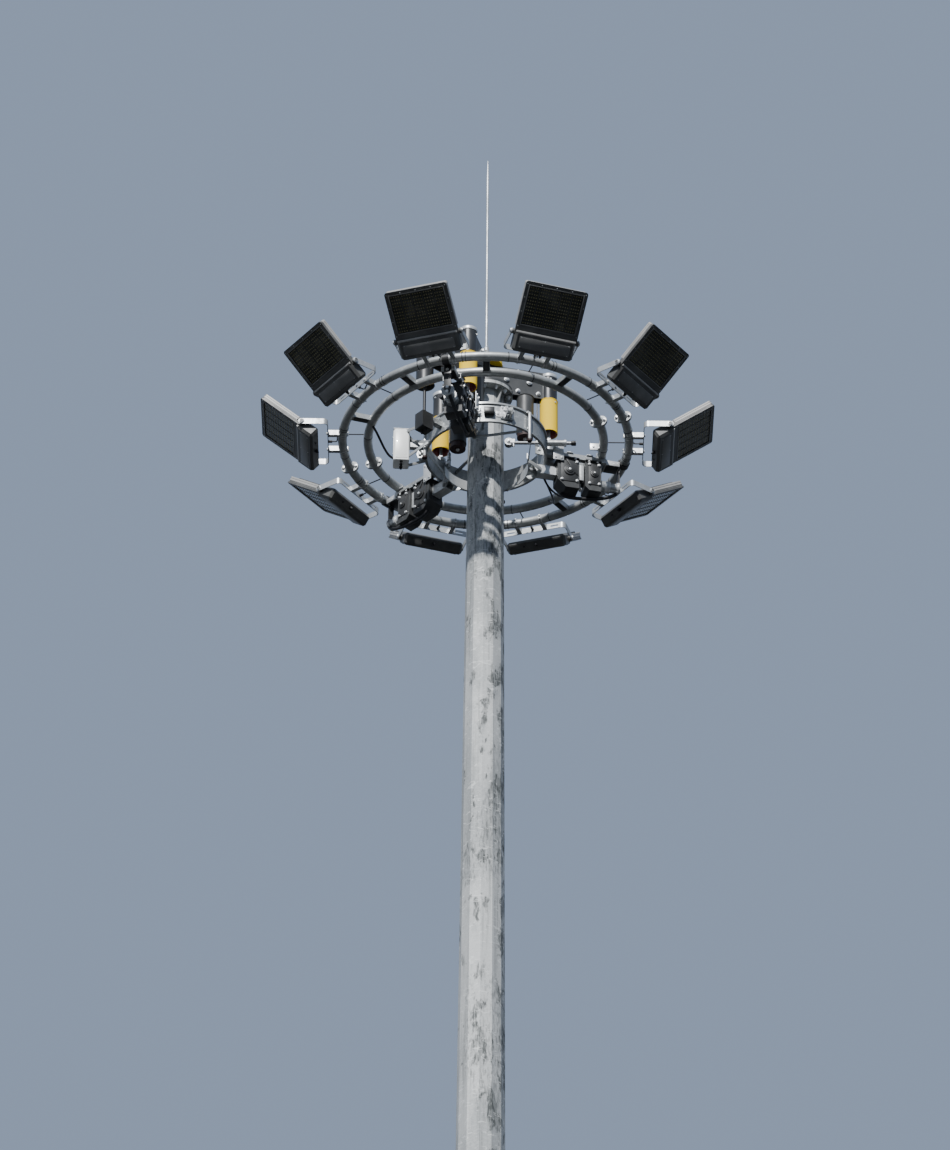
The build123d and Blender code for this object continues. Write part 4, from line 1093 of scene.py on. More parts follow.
@dataclass
class HeadFasteners(Assembly):
    """Bolts, pin caps, rims and buffer fittings of the head."""

    bolt_reach: float = 0.160
    bolt_radius: float = 0.008
    plate_top: float = 25.020
    flange_foot: float = 24.976
    arm_face: float = 0.033
    arm_bolts: tuple[Corner, ...] = ((0.075, 25.055), (0.225, 25.055), (0.375, 25.055), (0.225, 25.225))
    pin_end: float = 0.041
    pin_reaches: tuple[float, float] = (0.140, 0.309)
    cable_pins: tuple[float, float] = (0.175, 0.492)
    sheave_level: float = 25.138
    latch_reach: float = 0.462
    bar_half: float = 0.066
    bar_level: float = 25.190
    fixing_reach: float = 0.064
    fixing_level: float = 24.990
    fixing_turns: tuple[float, ...] = (60.0, 180.0, 300.0)
    seam: Spot = (-0.0505, 0.0345, 25.022)
    buffer_reach: float = 0.287
    buffer_foot: float = 24.674

    def build(self) -> None:
        """Make the bolts of the flange and the arms and the caps of the sheaves' pins."""
        flange = self.yard.start("head_flange_bolts", "mast", "rod_steel", Finish.bright_bolt)
        for index in range(MAST_SIDES):
            angle = corner(index)
            flange.bolt(at(angle, self.bolt_reach, 0.0, self.plate_top), self.bolt_radius)
            nut = at(angle, self.bolt_reach, 0.0, self.flange_foot, Facing.down)
            flange.bolt(nut, self.bolt_radius, 0.012)
        arms = self.yard.start("head_arm_bolts", "mast", "rod_steel", Finish.bright_bolt)
        for angle, (reach, level) in product(STATION_ANGLES, self.arm_bolts):
            arms.through(at(angle, reach, 0.0, level), self.arm_face, self.bolt_radius, 0.006)
        pins = self.yard.start("sheave_pin_caps", "mast", "rod_steel")
        ends = [*product(STATION_ANGLES, self.pin_reaches), *product((CABLE_ANGLE,), self.cable_pins)]
        for angle, reach in ends:
            for place in cheeks(angle, reach, self.pin_end, self.sheave_level):
                pins.turned(place, Turned.pin_cap)
        self._latches()

    def _latches(self) -> None:
        """Make the rims, latch bars, beads and liners of the latch tubes, and the buffers' bolts."""
        rims = self.yard.start("latch_rims", "mast", "galvanised_ring", Finish.bright_rim)
        beads = self.yard.start("sleeve_beads", "mast", "yellow_sleeve")
        liners = self.yard.start("sleeve_liners", "mast", "buffer_rubber", Finish.sleeve_liner)
        welds = self.yard.start("head_welds", "mast", "dark_steel")
        fixings = self.yard.start("head_fixings", "mast", "rod_steel", Finish.bright_bolt)
        for angle in STATION_ANGLES:
            tube = at(angle, self.latch_reach)
            for shape, outline in (
                (rims, Outline.latch_rim), (beads, Outline.sleeve_bead), (liners, Outline.sleeve_liner),
            ):
                shape.sweep_ring(outline.value, 48, tube)
            rims.turned(at(tube, 0.0, self.bar_half, self.bar_level, Facing.right), Turned.latch_bar)
            for turn in self.fixing_turns:
                fixing = at(tube @ spun(turn), self.fixing_reach, 0.0, self.fixing_level, Facing.outward)
                fixings.bolt(fixing, 0.004, washer=False)
            for spot in mirrored(self.seam):
                welds.turned(at(tube, *spot), Turned.latch_weld)
            buffer = at(angle, self.buffer_reach)
            fixings.bolt(at(buffer, z=self.buffer_foot, facing=Facing.down), self.bolt_radius)
            for outline in (Outline.buffer_weld, Outline.buffer_bead):
                welds.sweep_ring(outline.value, 40, buffer)


@dataclass
class RodFittings(Assembly):
    """Screws and collar between the cap and the lightning rod."""

    cap_radius: float = 0.115
    cap_screws: int = 6
    screw_level: float = 25.265
    socket_radius: float = 0.0195
    socket_top: float = 25.415

    def build(self) -> None:
        """Make the screws and the collar."""
        screws = self.yard.start("cap_screws", "mast", "rod_steel")
        for index in range(self.cap_screws):
            angle = 360.0 / self.cap_screws * index
            screws.bolt(at(angle, self.cap_radius, 0.0, self.screw_level, Facing.outward), 0.004)
        for angle in (20.0, 140.0, 260.0):
            place = at(angle, self.socket_radius, 0.0, self.socket_top - 0.030, Facing.outward)
            screws.turned(place, Turned.socket_screw)
        collar = self.yard.start("rod_collar", "mast", "rod_steel")
        collar.turned(moved(z=self.socket_top), Turned.rod_nut)
        collar.sweep_ring(Outline.rod_collar.value, 32, Matrix.Identity(4))


@dataclass
class RingFasteners(Assembly):
    """Split-joint bolts, welds and cable ties of the two rings, and dark sheets of painted shade under the
    spacer bars.
    """

    splits: tuple[float, float] = (-18.0, 162.0)
    ear: float = 0.046
    plate: float = 0.010
    spacer_reach: float = 0.925
    spacer_drop: float = 0.0206
    ties: tuple[Corner, ...] = ((OUTER_RING, 8.6), (OUTER_RING, 9.9), (OUTER_RING, -9.4), (INNER_RING, 4.6))

    def build(self) -> None:
        """Make the bolts, the painted shade under the spacers, the welds and the ties."""
        bolts = self.yard.start("ring_split_bolts", "ring", "galvanised_ring", Finish.bright_bolt)
        painted_shade = self.yard.start("spacer_painted_shade", "ring", "galvanised_ring", Finish.dark_box)
        welds = self.yard.start("ring_welds", "ring", "galvanised_ring")
        ties = self.yard.start("ring_cable_ties", "ring", "black_cable")
        # Thin dark sheets under the spacer bars: painted shade on their undersides.
        for angle in SPACER_ANGLES:
            place = at(angle, self.spacer_reach, 0.0, RING_LEVEL - self.spacer_drop)
            painted_shade.slab(place, Slab.spacer_shade)
        for split, reach in product(self.splits, (OUTER_RING, INNER_RING)):
            for side in (-1, 1):
                bolts.through(at(split, reach + side * self.ear, 0.0, RING_LEVEL), self.plate, 0.0065, 0.008)
            for collar in cheeks(split, reach, self.plate, RING_LEVEL):
                welds.sweep_ring(Outline.ring_weld.value, 36, collar)
        for angle, (reach, shift) in product(FLOOD_ANGLES, self.ties):
            loop = at(angle + shift, reach, 0.0, RING_LEVEL, Facing.left)
            ties.band(loop, Band.cable_tie)
            head = at(angle + shift, reach + 0.008, 0.0, RING_LEVEL + TUBE_RADIUS + 0.003)
            ties.slab(head, Slab.tie_head)


@dataclass
class YokeFasteners(Assembly):
    """Straps, bolts and pivot washers that hold each floodlight's yoke."""

    block_offset: float = 0.095
    base: float = 1.119
    arm_face: float = 0.245
    nut_reach: float = 0.9815

    def build(self) -> None:
        """Make the bolts, straps and washers."""
        bolts = self.yard.start("yoke_block_bolts", "ring", "galvanised_yoke", Finish.bright_bolt)
        straps = self.yard.start("yoke_ring_straps", "ring", "galvanised_yoke", Finish.bright_rim)
        washers = self.yard.start("yoke_pivot_washers", "ring", "galvanised_yoke", Finish.bright_rim)
        for angle in FLOOD_ANGLES:
            for side in (-1, 1):
                y = side * self.block_offset
                bolts.bolt(at(angle, self.base, y, RING_LEVEL, Facing.outward), 0.0055)
                lean = angle + math.degrees(math.asin(y / OUTER_RING))
                for step in (-0.010, 0.010):
                    loop = at(lean, OUTER_RING, step, RING_LEVEL, Facing.left)
                    straps.band(loop, Band.yoke_strap)
                for step in (-0.013, 0.013):
                    nut = at(lean, self.nut_reach, 0.0, RING_LEVEL + step, Facing.inward)
                    bolts.turned(nut, Turned.strap_nut)
            for end in cheeks(angle, PIVOT_REACH, self.arm_face, RING_LEVEL):
                washers.turned(end, Turned.pivot_washer)


@dataclass
class FloodDetails(Assembly):
    """Light sources, frame lip, screws and gland of each floodlight."""

    tilts: tuple[float, ...] = (34.0, 34.0, 37.0, 37.0, 36.0, 40.0, 40.0, 36.0, 43.0, 40.0)
    face: float = -0.025
    near: float = 0.062
    far: float = 0.335
    half: float = 0.195
    recess: float = 0.004
    rows: int = 12
    strips: int = 5
    strip_columns: int = 4
    box_foot: float = -0.045
    box_length: float = 0.128
    wall_near: float = 0.0450
    wall_far: float = 0.3460
    wall_half: float = 0.2060
    ridge_length: float = 0.4300
    lip: float = 0.0035
    screw_reaches: tuple[float, ...] = (0.045, 0.150, 0.250, 0.345)
    screw_half: float = 0.2125
    end_screw_reach: float = 0.350
    end_screws: tuple[float, ...] = (-0.110, 0.0, 0.110)
    cover_screws: tuple[tuple[float, ...], ...] = ((-0.094, -0.026), (-0.172, 0.0, 0.172))
    rib_middle: float = 0.150
    rib_half: float = 0.2235
    rib_level: float = -0.0105

    def build(self) -> None:
        """Make the pieces of every floodlight."""
        for index, (angle, tilt) in enumerate(zip(FLOOD_ANGLES, self.tilts), start=1):
            lamp = at(angle, PIVOT_REACH, 0.0, RING_LEVEL) @ Matrix.Rotation(math.radians(-tilt), 4, "Y")
            self._glass(lamp, f"flood_{index:02d}")
            self._casing(lamp, f"flood_{index:02d}")

    def _glass(self, lamp: Matrix, body: str) -> None:
        """Make the lenses behind the glass, the bars between them and the lip round them.

        Args:
            lamp: Frame of the lamp's pivot.
            body: Name of the lamp's body.
        """
        lenses = self.yard.start(f"{body}_sources", body, "flood_glass", Finish.light_source)
        bars = self.yard.start(f"{body}_dividers", body, "flood_glass", Finish.strip_divider)
        trim = self.yard.start(f"{body}_trim", body, "flood_body", Finish.flood_trim)
        length, middle = self.far - self.near, (self.near + self.far) / 2
        width = 2 * self.half / self.strips
        for row, strip, column in product(range(self.rows), range(self.strips), range(self.strip_columns)):
            x = self.near + length * (row + 0.5) / self.rows
            y = width * strip + width * (column + 0.75) / 4.5 - self.half
            lenses.turned(at(lamp, x, y, self.face + self.recess, Facing.down), Turned.lens)
        for strip in range(1, self.strips):
            bar = at(lamp, middle, width * strip - self.half, self.face + 0.0030)
            bars.block(bar, (length - 0.006, 0.0030, 0.0022), 0.0004)
        for side, edge in ((-1, self.near - self.lip), (1, self.far + self.lip)):
            long_lip = at(lamp, middle, side * (self.half + self.lip), self.face - 0.0005)
            trim.block(long_lip, (length + 0.020, 2 * self.lip, 0.0036), 0.001)
            short_lip = at(lamp, edge, 0.0, self.face - 0.0005)
            trim.block(short_lip, (2 * self.lip, 2 * self.half + 0.002, 0.0034), 0.001)
            trim.slab(at(lamp, self.rib_middle, side * self.rib_half, self.rib_level), Slab.lamp_rib)
        cover = at(lamp, 0.004 - self.box_length / 2, 0.0, self.box_foot - 0.0006)
        trim.block(cover, (self.box_length - 0.052, 0.368, 0.0030), 0.0012)

    def _casing(self, lamp: Matrix, body: str) -> None:
        """Make the grooved wall round the fins, the ridge, the screws and the glands.

        Args:
            lamp: Frame of the lamp's pivot.
            body: Name of the lamp's body.
        """
        # The wall and ridge take the lighter rim paint: painted highlight on the lamp's sunlit edges.
        rim = self.yard.start(f"{body}_rim", body, "flood_body", Finish.flood_rim)
        screws = self.yard.start(f"{body}_screws", body, "flood_body", Finish.rod_steel)
        gland = self.yard.start(f"{body}_gland", body, "black_cable")
        wall = Outline.lamp_wall.value
        rim.prism(at(lamp, self.wall_far), wall, 2 * self.wall_half)
        for side, turn in ((1, 0.0), (-1, -90.0)):
            rim.sweep_ring(wall, 10, at(lamp, self.wall_far, side * self.wall_half) @ spun(turn), 90.0)
            flank = at(lamp, (self.wall_far + self.wall_near) / 2, side * self.wall_half)
            rim.prism(flank @ spun(90.0 * side), wall, self.wall_far - self.wall_near)
        rim.prism(lamp, Outline.lamp_ridge.value, self.ridge_length)
        spots = [
            *product(self.screw_reaches, (-self.screw_half, self.screw_half), (self.face,)),
            *product((self.end_screw_reach,), self.end_screws, (self.face,)),
            *product(*self.cover_screws, (self.box_foot - 0.0020,)),
        ]
        for spot in spots:
            screws.turned(at(lamp, *spot, Facing.down), Turned.frame_screw)
        gland.turned(at(lamp, -self.box_length, facing=Facing.inward), Turned.lamp_gland)
        gland.turned(at(lamp, -self.box_length, 0.090, facing=Facing.inward), Turned.breather)


@dataclass
class StationDetails(Assembly):
    """Bolts, covers, clevises, clamps, hoses and guide arms of the three stations."""

    low: float = 24.259
    top: float = 24.514
    half: float = 0.065
    boxes: tuple[tuple[float, float, float], ...] = ((0.510, 0.668, 0.040), (0.712, 0.830, 0.028))
    gap: float = 0.690
    clips: tuple[Corner, ...] = ((0.800, 0.045), (0.600, -0.045), (0.745, -0.045))
    clip_top: float = 24.559
    clip_step: float = 0.018
    lug: Spot = (0.388, 0.0, 24.590)
    post_plate: Spot = (0.512, 0.0825, 24.548)
    post_bridge: Spot = (0.490, 0.0715, 24.568)
    slant_low: Spot = (0.652, 0.0745, 24.372)
    slant_high: Spot = (0.572, 0.0745, 24.500)
    plate_face: float = 0.085
    plate_bolt_reaches: tuple[float, float] = (0.490, 0.534)
    plate_bolt_levels: tuple[float, float] = (24.606, 24.490)
    collar_reaches: tuple[float, float] = (0.890, 0.962)
    band_reaches: tuple[float, float] = (0.832, 0.956)
    strap_bolt_reaches: tuple[float, float] = (0.790, 0.862)
    strap_top: float = 24.554
    lead_radius: float = 0.0070
    foot_reach: float = 0.781
    end_reach: float = 0.919
    end_level: float = 24.534
    hanger_reach: float = 0.9735
    strap_half: float = 0.045
    plate_angle: float = 3.7
    plate_reach: float = 0.779
    post_reach: float = 0.462
    post_top: float = 24.670
    stub_level: float = 24.350
    arm_level: float = 24.400
    arm_near: float = 0.332
    arm_far: float = 0.5115
    shoe_reach: float = 0.300
    shoe_spread: float = 28.0
    stay_turn: float = 54.0
    stay_end: Corner = (0.4165, 24.4440)
    plain_angle: float = 254.0
    hose_radius: float = 0.0130
    hose_line: tuple[Spot, ...] = (
        (0.560, 0.030, 24.262), (0.575, 0.030, 24.238), (0.640, 0.028, 24.232), (0.760, 0.024, 24.240),
        (0.860, 0.020, 24.262), (0.930, 0.016, 24.290), (0.968, 0.012, 24.318), (0.970, 0.010, 24.345),
    )

    def __post_init__(self) -> None:
        """Start the shapes that the stations share."""
        start = self.yard.start
        self.covers = start("carriage_covers_and_shade", "ring", "dark_steel", Finish.dark_cover)
        self.bolts = start("carriage_bolts", "ring", "rod_steel", Finish.bright_bolt)
        self.bright = start("carriage_fittings", "ring", "galvanised_fitting", Finish.bright_rim)
        self.hoses = start("carriage_hoses", "ring", "black_cable")
        self.leads = start("carriage_leads", "ring", "black_cable")
        self.ends = start("carriage_end_boxes", "ring", "galvanised_fitting", Finish.bright_rim)
        self.plain_arm = start("guide_arm", "ring", "dark_steel", Finish.dark_cover)
        self.shoes = start("guide_shoes", "ring", "galvanised_fitting", Finish.bright_rim)
        self.bands = start("stub_bands", "ring", "galvanised_fitting", Finish.bright_bolt)
        self.clamps = start("outer_ring_clamps", "ring", "dark_steel", Finish.dark_cover)
        self.straps = start("inner_ring_straps", "ring", "galvanised_fitting")

    def build(self) -> None:
        """Make the pieces of each station, then the ring plate and the leads of the first."""
        for angle in STATION_ANGLES:
            turn = spun(angle)
            self._covers(turn)
            self._fittings(turn)
            self._plates(turn)
            self._clamps(turn)
            if angle == self.plain_angle:
                self._arm(angle, self.plain_arm)
                start = polar(angle, self.arm_near + 0.014, self.arm_level - 0.020)
                self._stay(start, angle + self.stay_turn)
            else:
                self._arm(angle, self.shoes)
                self._shoe(angle)
            self.ends.slab(at(turn, self.end_reach, 0.0, self.end_level), Slab.end_box)
            # Thin dark sheet on the end box's underside: painted shade.
            self.covers.slab(at(turn, self.end_reach, 0.0, self.end_level - 0.0207), Slab.end_shade)
            self.hoses.hose([turn @ Vector(spot) for spot in self.hose_line], self.hose_radius)
        plate = at(self.plate_angle, self.plate_reach, 0.0, RING_LEVEL + 0.006)
        self.ends.slab(plate, Slab.ring_plate)
        self.ends.slab(at(plate, 0.031, 0.0, -0.020), Slab.ring_plate_foot)
        self.bolts.bolt(at(plate, -0.014, -0.005, 0.0, Facing.right), 0.0045)
        for shift, sag in ((0.0, 0.0), (-9.0, -0.014)):
            line = (
                (5.0, 0.440, 24.372 + sag / 4), (8.0, 0.470, 24.350 + sag),
                (18.0 + shift / 2, 0.560, 24.330 + sag), (30.0 + shift, 0.690, 24.400 + sag),
                (38.0 + shift, 0.780, 24.500), (42.0 + shift, 0.812, 24.562),
            )
            spots = [polar(STATION_ANGLES[0] + turn, reach, height) for turn, reach, height in line]
            self.leads.hose(spots, self.lead_radius)

    def _covers(self, turn: Matrix) -> None:
        """Add bolted side covers with their bosses to both boxes.

        Args:
            turn: Turn of the station.
        """
        middle = (self.low + self.top) / 2
        face = self.half + 0.005
        for near, far, boss in self.boxes:
            centre, length = (near + far) / 2 + 0.006, far - near
            for side in (-1, 1):
                plate = at(turn, centre, side * (self.half + 0.0025), middle + 0.010)
                self.covers.block(plate, (length - 0.038, 0.005, 0.178), 0.0015)
            for hub in cheeks(turn, centre, face, middle + 0.014):
                self.covers.drum(hub, boss, 0.009, 32, 0.002)
                self.covers.drum(at(hub, z=0.009), boss * 0.62, 0.006, 28, 0.0015)
                self.bolts.drum(at(hub, z=0.015), boss * 0.24, 0.006, 6, 0.0008)
            for x, z in product((near + 0.030, far - 0.018), (self.low + 0.058, self.top - 0.034)):
                for place in cheeks(turn, x, face, z):
                    self.bolts.bolt(place, 0.0052)
            for x, y in product((near + 0.028, far - 0.028), (-0.072, 0.072)):
                self.bolts.bolt(at(turn, x, y, self.top - 0.008, Facing.down), 0.0045)
        end = at(turn, self.boxes[0][0] - 0.002, 0.0, self.low + 0.150, Facing.inward)
        self.covers.slab(end, Slab.end_cover)
        foot = at(turn, self.foot_reach, 0.0, self.low - 0.002)
        self.covers.slab(foot, Slab.foot_cover)

    def _fittings(self, turn: Matrix) -> None:
        """Add the clevis rod, clip plates, post nuts and rope pins.

        Args:
            turn: Turn of the station.
        """
        self.bright.turned(at(turn, self.gap, 0.0, self.low + 0.020), Turned.clevis_rod)
        for rise in (0.034, 0.222):
            self.bolts.turned(at(turn, self.gap, 0.0, self.low + rise), Turned.clevis_nut)
        for side in (-1, 1):
            self.bright.slab(at(turn, self.gap, side * 0.047, self.low + 0.150), Slab.clevis_cheek)
        for x, y in self.clips:
            self.bright.slab(at(turn, x, y, self.clip_top - 0.0025), Slab.clip_plate)
            for step in (-self.clip_step, self.clip_step):
                self.bolts.bolt(at(turn, x, y + step, self.clip_top), 0.0040)
        post = at(turn, self.post_reach)
        for outline in (Outline.post_foot, Outline.post_head):
            self.bright.sweep_ring(outline.value, 36, post)
        self.bolts.turned(at(post, z=self.post_top), Turned.post_nut)
        self.bolts.turned(at(post, z=self.post_top) @ spun(20.0), Turned.post_lock_nut)
        self.bolts.through(at(turn, *self.lug), 0.006, 0.006, 0.004)

    def _plates(self, turn: Matrix) -> None:
        """Add the upright plates beside the post and the slanting straps.

        Args:
            turn: Turn of the station.
        """
        for middle, kind in ((self.post_plate, Slab.post_plate), (self.post_bridge, Slab.post_bridge)):
            for spot in mirrored(middle):
                self.bright.slab(at(turn, *spot), kind)
        for low, high in zip(mirrored(self.slant_low), mirrored(self.slant_high)):
            self.clamps.strut(turn @ Vector(low), turn @ Vector(high), *SLANT_SECTION)
        for x, z in product(self.plate_bolt_reaches, self.plate_bolt_levels):
            for place in cheeks(turn, x, self.plate_face, z):
                self.bolts.bolt(place, 0.0042)

    def _clamps(self, turn: Matrix) -> None:
        """Add the hanger of the stub, the stub's bands and the straps over the inner ring.

        Args:
            turn: Turn of the station.
        """
        self.clamps.band(at(turn, OUTER_RING, 0.0, RING_LEVEL, Facing.left), Band.hanger_collar)
        hanger = at(turn, self.hanger_reach, 0.0, (self.stub_level + RING_LEVEL) / 2 + 0.006)
        self.clamps.slab(hanger, Slab.hanger)
        self.clamps.slab(at(turn, self.hanger_reach + 0.0065, 0.0, RING_LEVEL - 0.004), Slab.hanger_head)
        for z in (self.stub_level - 0.018, self.stub_level + 0.018, RING_LEVEL - 0.060):
            self.bolts.bolt(at(turn, self.hanger_reach + 0.004, 0.0, z, Facing.outward), 0.0055)
        for shape, reaches, kinds in (
            (self.bright, self.collar_reaches, (Band.near_collar, Band.far_collar)),
            (self.bands, self.band_reaches, (Band.stub_sleeve, Band.stub_clip)),
        ):
            for reach, kind in zip(reaches, kinds):
                shape.band(at(turn, reach, 0.0, self.stub_level, Facing.outward), kind)
        for y in (-self.strap_half, self.strap_half):
            lean = turn @ spun(math.degrees(math.asin(y / INNER_RING)))
            self.straps.band(at(lean, INNER_RING, 0.0, RING_LEVEL, Facing.left), Band.inner_strap)
            for x in self.strap_bolt_reaches:
                self.bolts.bolt(at(turn, x, y, self.strap_top), 0.0048)

    def _arm(self, angle: float, arms: Shape) -> None:
        """Add the open arm below the band.

        Args:
            angle: Angle of the station in degrees.
            arms: Mesh of the arm.
        """
        turn = at(angle, z=self.arm_level)
        cut = self.arm_near + 0.040
        for near, z in ((self.arm_near, 0.0330), (cut, -0.0330)):
            wall = at(turn, (near + self.arm_far) / 2, 0.0, z)
            arms.block(wall, (self.arm_far - near, 0.072, 0.005), 0.0010)
        cheek = ((self.arm_near, 0.0355), (self.arm_far, 0.0355), (self.arm_far, -0.0355), (cut, -0.0355))
        for side in (-1, 1):
            arms.prism(at(turn, y=side * 0.0335), cheek, 0.005)
        for place in cheeks(turn, cut, 0.036, 0.008):
            self.bolts.bolt(place, 0.0060)
        self.bolts.bolt(at(turn, self.arm_near + 0.026, 0.0, 0.0355), 0.0085, 0.008)

    def _stay(self, start: Vector, angle: float) -> None:
        """Add a stay from a shoe or an arm to the band."""
        self.shoes.strut(start, polar(angle, *self.stay_end), *STAY_SECTION)

    def _shoe(self, angle: float) -> None:
        """Add the curved shoe at the end of an arm, its braces and its stays.

        Args:
            angle: Angle of the station in degrees.
        """
        turn = at(angle, z=self.arm_level)
        for side in (-1, 1):
            brace = polar(side * 21.0, self.shoe_reach + 0.0110, -0.006)
            self.shoes.strut(turn @ Vector((0.398, side * 0.0385, -0.006)), turn @ brace, *BRACE_SECTION)
            low = polar(angle + side * 25.0, self.shoe_reach + 0.0090, self.arm_level - 0.016)
            self._stay(low, angle + side * self.stay_turn)
        self.shoes.turned(at(turn, self.shoe_reach + 0.004, facing=Facing.outward), Turned.shoe_neck)
        self.shoes.sweep_ring(
            flat(self.shoe_reach, self.shoe_reach + 0.006, -0.040, 0.038), 16,
            at(angle - self.shoe_spread, z=self.arm_level), 2 * self.shoe_spread,
        )


@dataclass
class BandDetails(Assembly):
    """Buffer posts, clip plates, small boxes, castings and rope sockets on the guide band."""

    face: float = 0.4225
    hoop: float = 0.4345
    rope_reach: float = 0.375
    post_angles: tuple[float, ...] = (74.0, 194.0, 314.0)
    clip_angles: tuple[float, ...] = (262.0, 284.0, 158.0, 98.0)
    box_angles: tuple[float, ...] = (273.0, 96.0)
    casting_angles: tuple[float, ...] = (48.0, 168.0, 290.0)
    casting_pin: Spot = (0.470, 0.0, -0.008)
    socket_foot: float = 24.620

    def build(self) -> None:
        """Make the castings, posts, plates, boxes and sockets."""
        castings = self.yard.start("band_castings", "ring", "galvanised_fitting", Finish.bright_rim)
        pins = self.yard.start("band_casting_pins", "ring", "rod_steel", Finish.bright_bolt)
        posts = self.yard.start("band_posts", "ring", "galvanised_fitting", Finish.bright_rim)
        balls = self.yard.start("band_post_buffers", "ring", "buffer_rubber")
        plates = self.yard.start("band_clip_plates", "ring", "galvanised_fitting", Finish.bright_rim)
        boxes = self.yard.start("band_small_boxes", "ring", "dark_box")
        sockets = self.yard.start("rope_sockets", "ring", "rod_steel")
        for angle in self.post_angles:
            rod = at(angle, self.hoop + 0.009, 0.0, RING_LEVEL - 0.205)
            posts.turned(rod, Turned.band_post)
            balls.turned(rod, Turned.post_buffer)
            for z in (-0.109, 0.033):
                posts.slab(at(angle, self.hoop + 0.004, 0.0, RING_LEVEL + z), Slab.post_pad)
        for angle in self.clip_angles:
            clip = at(angle, self.face + 0.002, 0.0, RING_LEVEL - 0.055)
            plates.slab(clip, Slab.band_clip)
            for y in (-0.022, 0.022):
                plates.bolt(at(clip, 0.0025, y, 0.0, Facing.outward), 0.004)
        for angle in self.box_angles:
            box = at(angle, self.face + 0.018, 0.0, RING_LEVEL - 0.045)
            boxes.slab(box, Slab.band_box)
            boxes.slab(at(box, 0.0185), Slab.band_box_lid)
        for angle in STATION_ANGLES:
            sockets.turned(at(angle, self.rope_reach, 0.0, self.socket_foot), Turned.rope_socket)
        for angle in self.casting_angles:
            turn = at(angle, z=RING_LEVEL - 0.040)
            castings.slab(at(turn, self.hoop - 0.006), Slab.casting_base)
            for y in (-0.018, 0.018):
                castings.prism(at(turn, y=y), Outline.casting_lug.value, 0.010)
            hub = at(turn, *self.casting_pin)
            castings.turned(at(hub, y=-0.0130, facing=Facing.left), Turned.casting_bush)
            for y, z in product((-0.036, 0.036), (-0.038, 0.038)):
                pins.bolt(at(turn, self.hoop, y, z, Facing.outward), 0.0042)
            pins.through(hub, 0.023, 0.0080, 0.006)


@dataclass
class GuideDetails(Assembly):
    """End caps, pins, grease nipples and flange bolts of the guide plungers."""

    band: float = 0.4305
    tube_end: float = 0.570
    rod_end: float = 0.628
    roller_reach: float = 0.1635

    def build(self) -> None:
        """Make the cap and the pin of each plunger, then the fittings on the ring."""
        for number, angle in enumerate(GUIDE_ANGLES, start=1):
            turn = at(angle, z=RING_LEVEL)
            body = f"guide_{number}"
            cap = self.yard.start(f"{body}_cap", body, "black_cable")
            cap.sweep_ring(Outline.guide_cap.value, 28, at(turn, self.rod_end - 0.024, facing=Facing.outward))
            pin = self.yard.start(f"{body}_pin", body, "guide_steel", Finish.bright_bolt)
            for place in cheeks(turn, self.roller_reach, 0.0275, 0.0):
                pin.turned(place, Turned.fork_pin)
        fittings = self.yard.start("guide_fittings", "ring", "galvanised_fitting", Finish.rod_steel)
        for angle in GUIDE_ANGLES:
            turn = at(angle, z=RING_LEVEL)
            for y, z in product((-0.026, 0.026), (-0.050, 0.012)):
                fittings.bolt(at(turn, self.band, y, z, Facing.outward), 0.0045)
            gland = at(turn, self.tube_end - 0.016, facing=Facing.outward)
            fittings.sweep_ring(Outline.guide_gland.value, 32, gland)
            fittings.turned(at(turn, self.tube_end - 0.070, 0.0, 0.0220), Turned.nipple)


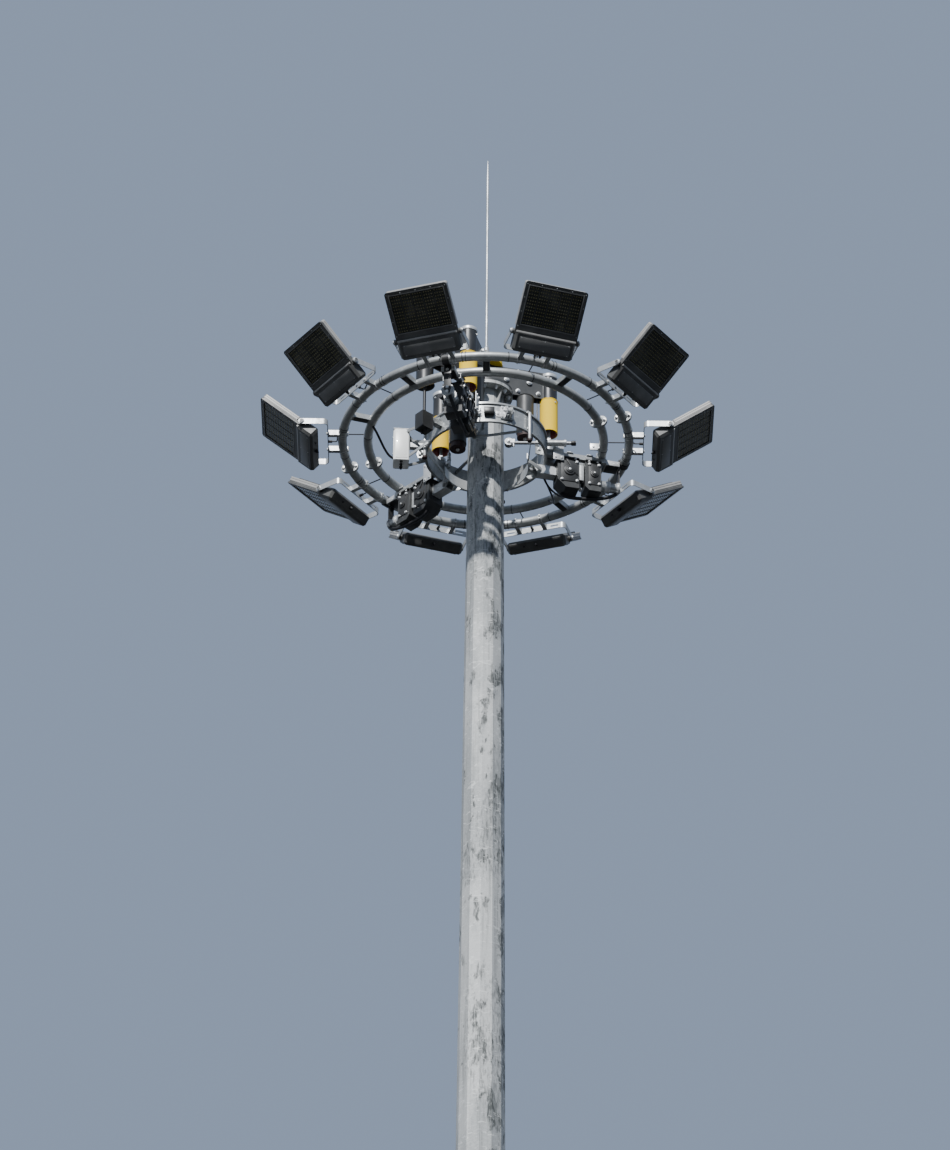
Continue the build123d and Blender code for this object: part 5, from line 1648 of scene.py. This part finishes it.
@dataclass
class BoxDetails(Assembly):
    """Door seams, stays, feed, glands and screws of the control box and the cable box."""

    angle: float = 183.0
    centre: float = 0.598
    far: float = 0.653
    half: float = 0.060
    low: float = 24.365
    high: float = 24.630
    cable_low: float = 24.410
    cable_high: float = 24.545
    stays: tuple[tuple[Spot, Spot], ...] = (
        ((187.0, 0.585, 24.6150), (222.0, 0.436, 24.5780)),
        ((186.5, 0.560, 24.6100), (171.0, 0.430, 24.4900)),
        ((178.0, 0.560, 24.6050), (200.0, 0.430, 24.4750)),
        ((178.5, 0.556, 24.3850), (171.0, 0.436, 24.4650)),
        ((188.0, 0.556, 24.3950), (200.0, 0.436, 24.4700)),
    )
    feed: tuple[Spot, ...] = (
        (196.0, 0.830, 24.552), (194.0, 0.795, 24.530), (190.0, 0.745, 24.470),
        (187.0, 0.700, 24.415), (185.0, 0.670, 24.400), (184.0, 0.640, 24.400),
    )
    feed_radius: float = 0.0085

    def build(self) -> None:
        """Make the stays, the feed, the doors, the glands and the screws."""
        stays = self.yard.start("control_box_stays", "ring", "galvanised_fitting")
        feed = self.yard.start("control_box_feed", "ring", "black_cable")
        doors = self.yard.start("control_box_covers", "ring", "white_box")
        glands = self.yard.start("box_glands", "ring", "black_cable")
        screws = self.yard.start("box_screws", "ring", "rod_steel")
        for start, end in self.stays:
            stays.strut(polar(*start), polar(*end), *STAY_SECTION)
        feed.hose([polar(*spot) for spot in self.feed], self.feed_radius)
        box = at(self.angle, z=(self.low + self.high) / 2)
        height = self.high - self.low
        for side in (-1, 1):
            face = at(box, self.centre, side * (self.half + 0.0008))
            doors.block(face, (0.086, 0.003, height - 0.020), 0.0010)
        doors.block(at(box, self.far + 0.0008), (0.003, 0.096, height - 0.020), 0.0010)
        doors.slab(at(box, self.centre, 0.0, height / 2 + 0.0015), Slab.control_lid)
        cable = at(CABLE_ANGLE, CABLE_REACH)
        for y in (-0.034, 0.0, 0.034):
            glands.turned(at(box, self.centre, y, -height / 2, Facing.down), Turned.box_gland)
        for y in (-0.022, 0.022):
            glands.turned(at(cable, 0.0, y, self.cable_low, Facing.down), Turned.box_gland)
        for x, z in product((-0.034, 0.034), (-0.112, 0.112)):
            for place in cheeks(box, self.centre + x, self.half + 0.0022, z):
                screws.turned(place, Turned.box_screw)
        for z in (-0.070, 0.070):
            screws.turned(at(box, self.far + 0.0023, 0.030, z, Facing.outward), Turned.box_lock)
        for x, y in product((-0.036, 0.036), (-0.031, 0.031)):
            screws.turned(at(cable, x, y, self.cable_high), Turned.lid_screw)


@dataclass
class Falls(Assembly):
    """Ropes and cable between the head and the ring, made at one fixed length."""

    rope_radius: float = 0.0044
    rope_reach: float = 0.375
    rope_low: float = 24.680
    cable_radius: float = 0.011
    cable_low: float = 24.545
    strands: int = 6

    def build(self) -> None:
        """Make the ropes and the cable."""
        ropes, cable = Shape(), Shape()
        for angle in STATION_ANGLES:
            foot = at(angle, self.rope_reach, 0.0, self.rope_low)
            ropes.twist(foot, self.rope_radius, HEAD_LEVEL - self.rope_low, self.strands)
        self._hang("fall_ropes", ropes, "hoist_ropes", self.rope_low, Finish.rope_steel)
        foot = at(CABLE_ANGLE, CABLE_REACH, 0.0, self.cable_low)
        cable.drum(foot, self.cable_radius, HEAD_LEVEL - self.cable_low)
        self._hang("fall_cable", cable, "power_cable", self.cable_low, Finish.black_cable)

    def _hang(self, name: str, shape: Shape, node: str, low: float, finish: Finish) -> None:
        """Put a piece in place of a node, reaching from the head down to the ring, on no body.

        Args:
            name: Name of the piece.
            shape: Its mesh.
            node: Node that it replaces.
            low: Height of its foot; not used here.
            finish: Its finish, named like its slot.
        """
        piece = self.yard.make(name, shape, finish.name, finish)
        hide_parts(node)
        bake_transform(piece)


ASSEMBLIES = (
    Foot, HeadFasteners, RodFittings, RingFasteners, YokeFasteners, FloodDetails, StationDetails, BandDetails,
    GuideDetails, BoxDetails, Falls,
)


def main() -> None:
    """Dress the frame, then build every piece of the scene in order."""
    logging.basicConfig(level=logging.INFO, format="%(message)s")
    paintshop = Paintshop()
    Camera().build()
    Studio().build(paintshop)
    paintshop.dress_frame()
    yard = Yard(paintshop)
    for kind in ASSEMBLIES:
        kind(yard).build()
        yard.deliver()


if __name__ == "__main__":
    main()
